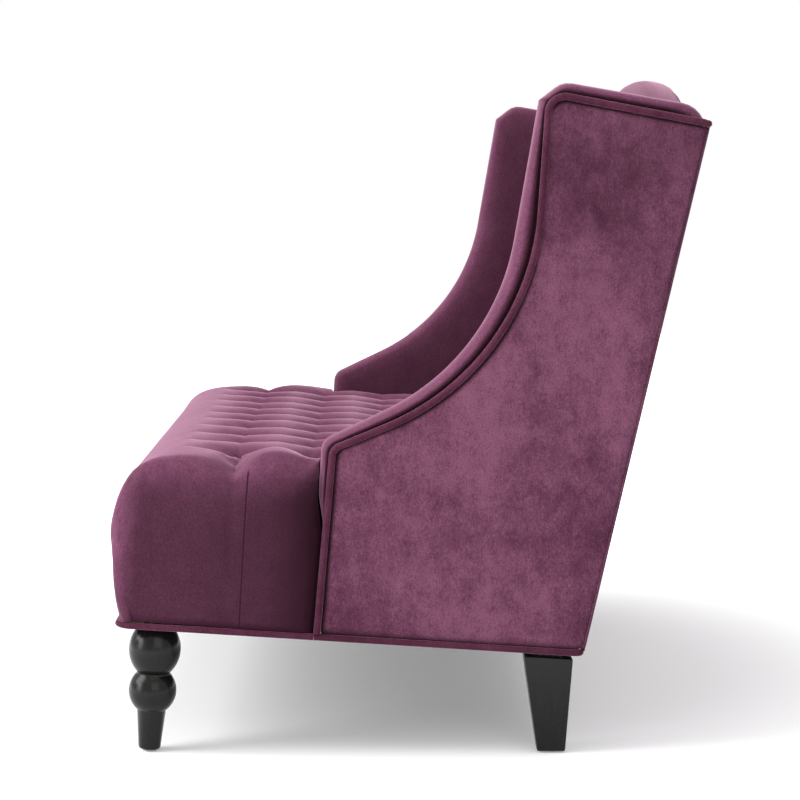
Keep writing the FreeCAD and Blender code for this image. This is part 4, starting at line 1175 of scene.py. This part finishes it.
# %% Black wood
BLACK_TONES = ((0.004, 0.0035, 0.0035, 1), (0.010, 0.009, 0.008, 1))
black = bpy.data.materials.new("black_wood")
black.use_nodes = True
tree = black.node_tree
shader = tree.nodes["Principled BSDF"]
coords = node(tree, "ShaderNodeTexCoord").outputs["Object"]
stretch = node(tree, "ShaderNodeMapping", {"Vector": coords, "Scale": (60, 60, 6)}).outputs["Vector"]
figure = node(tree, "ShaderNodeTexNoise", {"Vector": stretch, "Scale": 3.0, "Detail": 6.0}).outputs["Fac"]
tree.links.new(mixed(tree, figure, *BLACK_TONES), shader.inputs["Base Color"])
tree.links.new(ramp(tree, figure, 0.3, 0.7, 0.20, 0.28), shader.inputs["Roughness"])
shader.inputs["Specular IOR Level"].default_value = 0.22
bump = node(tree, "ShaderNodeBump", {"Height": figure, "Strength": 0.12, "Distance": 0.0004})
tree.links.new(bump.outputs["Normal"], shader.inputs["Normal"])
print("black wood", len(tree.nodes), "nodes")

# %% Turned front legs
LEG_AXIS_X, LEG_AXIS_Y = 540.5, -305
LEG_FLOOR = -185.0             # the profile's zero, below the body's underside


def ball(centre, curve, inset, start, stop, steps):
    """Part of a ball's outline as (radius, height), between two angles in degrees."""
    angles = [math.radians(start + (stop - start) * k / steps) for k in range(steps + 1)]
    return [(curve * math.cos(a) - inset, centre + curve * math.sin(a)) for a in angles]


leg_profile = [(0, 3.2), (13.0, 3.2), (14.9, 4.4), (15.6, 6.8), (20.3, 59)]
leg_profile += ball(87, 36, 2.5, -50, 46, 16)
leg_profile += ball(146.5, 48.3, 11.8, -44, 42, 18)
leg_profile += [(22.7, 180.2), (0, 180.2)]
leg_bm = bmesh.new()
for side, _ in SIDES:
    rim = [leg_bm.verts.new((radius, 0, height)) for radius, height in leg_profile]
    edges = [leg_bm.edges.new(pair) for pair in zip(rim, rim[1:])]
    bmesh.ops.spin(leg_bm, geom=rim + edges, cent=(0, 0, 0), axis=(0, 0, 1), angle=math.tau, steps=48,
                   use_merge=True)
    fresh = [v for v in leg_bm.verts if not v.tag]
    bmesh.ops.translate(leg_bm, vec=(side * LEG_AXIS_X, LEG_AXIS_Y, LEG_FLOOR), verts=fresh)
    for vert in leg_bm.verts:
        vert.tag = True
bmesh.ops.remove_doubles(leg_bm, verts=leg_bm.verts[:], dist=0.05)
bmesh.ops.recalc_face_normals(leg_bm, faces=leg_bm.faces[:])
add_piece("turned_legs", leg_bm, black, ["front_legs"])
print("turned legs", len(leg_profile), "points in the profile")

# %% Tapered rear legs
LEG_X = 545.6
LEG_TOP, LEG_FOOT = 160.0, 2.3
taper_bm = bmesh.new()
for side, _ in SIDES:
    made = bmesh.ops.create_cube(taper_bm, size=1)
    for vert in made["verts"]:
        upper = vert.co.z > 0
        z = LEG_TOP if upper else LEG_FOOT
        reach = 19 + 0.09 * z
        front = BODY_Y + 232 - 0.1256 * z
        behind = BODY_Y + 271 + 0.0572 * z
        y = front if vert.co.y < 0 else behind
        if upper:
            z = LEG_TOP - 4.9 - (y - BODY_Y) * math.tan(TILT)
        vert.co = Vector((side * LEG_X + (reach if vert.co.x > 0 else -reach), y, z))
bmesh.ops.bevel(taper_bm, geom=taper_bm.edges[:], offset=2.2, offset_type="OFFSET", segments=3, profile=0.5,
                affect="EDGES", material=-1)
add_piece("tapered_legs", taper_bm, black, ["rear_legs"], space=Matrix.Scale(MM, 4))
print("tapered legs reach from", LEG_FOOT, "to about", LEG_TOP, "mm above the floor")

# %% [markdown]
# ## Stage, light and camera
#
# The floor and the backdrop are white. A broad key lamp stands in front, with a small one lower down
# beside it, a wide one overhead and a soft fill beside the camera. The floor glows, for the camera and in
# reflections only:
# a little near the settee, as painted light that lightens its shadow there, and fully towards its far parts,
# so that it fades into the backdrop.

# %% Stage
FLOOR_HALF = 8


def stage_plane(name, half):
    """A level square at floor height that belongs to the stage."""
    bm = bmesh.new()
    bmesh.ops.create_grid(bm, x_segments=1, y_segments=1, size=half)
    mesh = bpy.data.meshes.new(name)
    bm.to_mesh(mesh)
    bm.free()
    plane = bpy.data.objects.new(name, mesh)
    bpy.context.scene.collection.objects.link(plane)
    return plane


def background_rays(tree):
    """1 for the rays that see the backdrop: from the camera, off gloss and through glass."""
    path = node(tree, "ShaderNodeLightPath")
    beyond = math_node(tree, "MAXIMUM", path.outputs["Is Glossy Ray"], path.outputs["Is Transmission Ray"])
    return math_node(tree, "MAXIMUM", path.outputs["Is Camera Ray"], beyond)


floor = stage_plane("floor", FLOOR_HALF)
print("floor", 2 * FLOOR_HALF, "m wide")

# %% Floor paint and backdrop
floor_paint = bpy.data.materials.new("floor_paint")
floor_paint.use_nodes = True
tree = floor_paint.node_tree
paint = tree.nodes["Principled BSDF"]
paint.inputs["Base Color"].default_value = (0.86, 0.86, 0.87, 1)
paint.inputs["Roughness"].default_value = 0.7
paint.inputs["Specular IOR Level"].default_value = 0.1
on_floor = node(tree, "ShaderNodeTexCoord").outputs["Object"]
from_middle = node(tree, "ShaderNodeVectorMath", {0: on_floor}, operation="LENGTH").outputs["Value"]
# painted light: the floor glows, lightening the settee's shadow near it and turning white further out
lift = ramp(tree, from_middle, 0.45, 1.5, 0.18, 1.0)
strength = math_node(tree, "MULTIPLY", lift, background_rays(tree))
glow = node(tree, "ShaderNodeEmission", {"Strength": strength})
both = node(tree, "ShaderNodeAddShader", {0: paint.outputs["BSDF"], 1: glow.outputs["Emission"]})
tree.links.new(both.outputs["Shader"], tree.nodes["Material Output"].inputs["Surface"])
floor.data.materials.append(floor_paint)

world = bpy.data.worlds.new("studio")
bpy.context.scene.world = world
world.use_nodes = True
sky = world.node_tree
background = sky.nodes["Background"]
sky.links.new(ramp(sky, background_rays(sky), 0.0, 1.0, 0.50, 1.0), background.inputs["Strength"])
background.inputs["Color"].default_value = (1, 1, 1, 1)
print("world", world.name)

# %% Lamps


def lamp(name, location, target, size, power):
    """A square area lamp aimed at a point."""
    data = bpy.data.lights.new(name, "AREA")
    data.shape = "SQUARE"
    data.size = size
    data.energy = power
    light = bpy.data.objects.new(name, data)
    light.location = location
    light.rotation_euler = (Vector(target) - Vector(location)).to_track_quat("-Z", "Y").to_euler()
    bpy.context.scene.collection.objects.link(light)
    return light


LAMPS = (("key", (0.9, -3.4, 2.6), (0, -0.1, 0.4), 2.6, 160),
         ("front", (1.9, -3.4, 0.9), (0, -0.3, 0.3), 1.4, 34),
         ("top", (0.6, 0.2, 3.6), (0, 0, 0.4), 3.0, 60),
         ("fill", (3.8, 0.9, 1.7), (0, 0.1, 0.4), 2.4, 26))
for values in LAMPS:
    lamp(*values)
print("lamps", [values[0] for values in LAMPS])

# %% [markdown]
# ## Camera
#
# A long lens a few metres away, square to the side and a little above the arm, keeps the settee's
# upright lines nearly parallel.

# %% Camera
FOCAL_PIXELS, PICTURE_PIXELS = 2295, 800
camera_data = bpy.data.cameras.new("camera")
camera_data.sensor_width = 36
camera_data.lens = FOCAL_PIXELS * camera_data.sensor_width / PICTURE_PIXELS
camera = bpy.data.objects.new("camera", camera_data)
camera.location = (3.7305, BODY_Y * MM, 0.8103)
pitch, yaw = math.radians(5.599), math.radians(0.696)
forward = Vector((-math.cos(pitch) * math.cos(yaw), math.cos(pitch) * math.sin(yaw), -math.sin(pitch)))
camera.rotation_euler = forward.to_track_quat("-Z", "Y").to_euler()
bpy.context.scene.collection.objects.link(camera)
bpy.context.scene.camera = camera
bpy.context.scene.view_settings.view_transform = "Standard"
print("lens", round(camera_data.lens, 1), "mm")
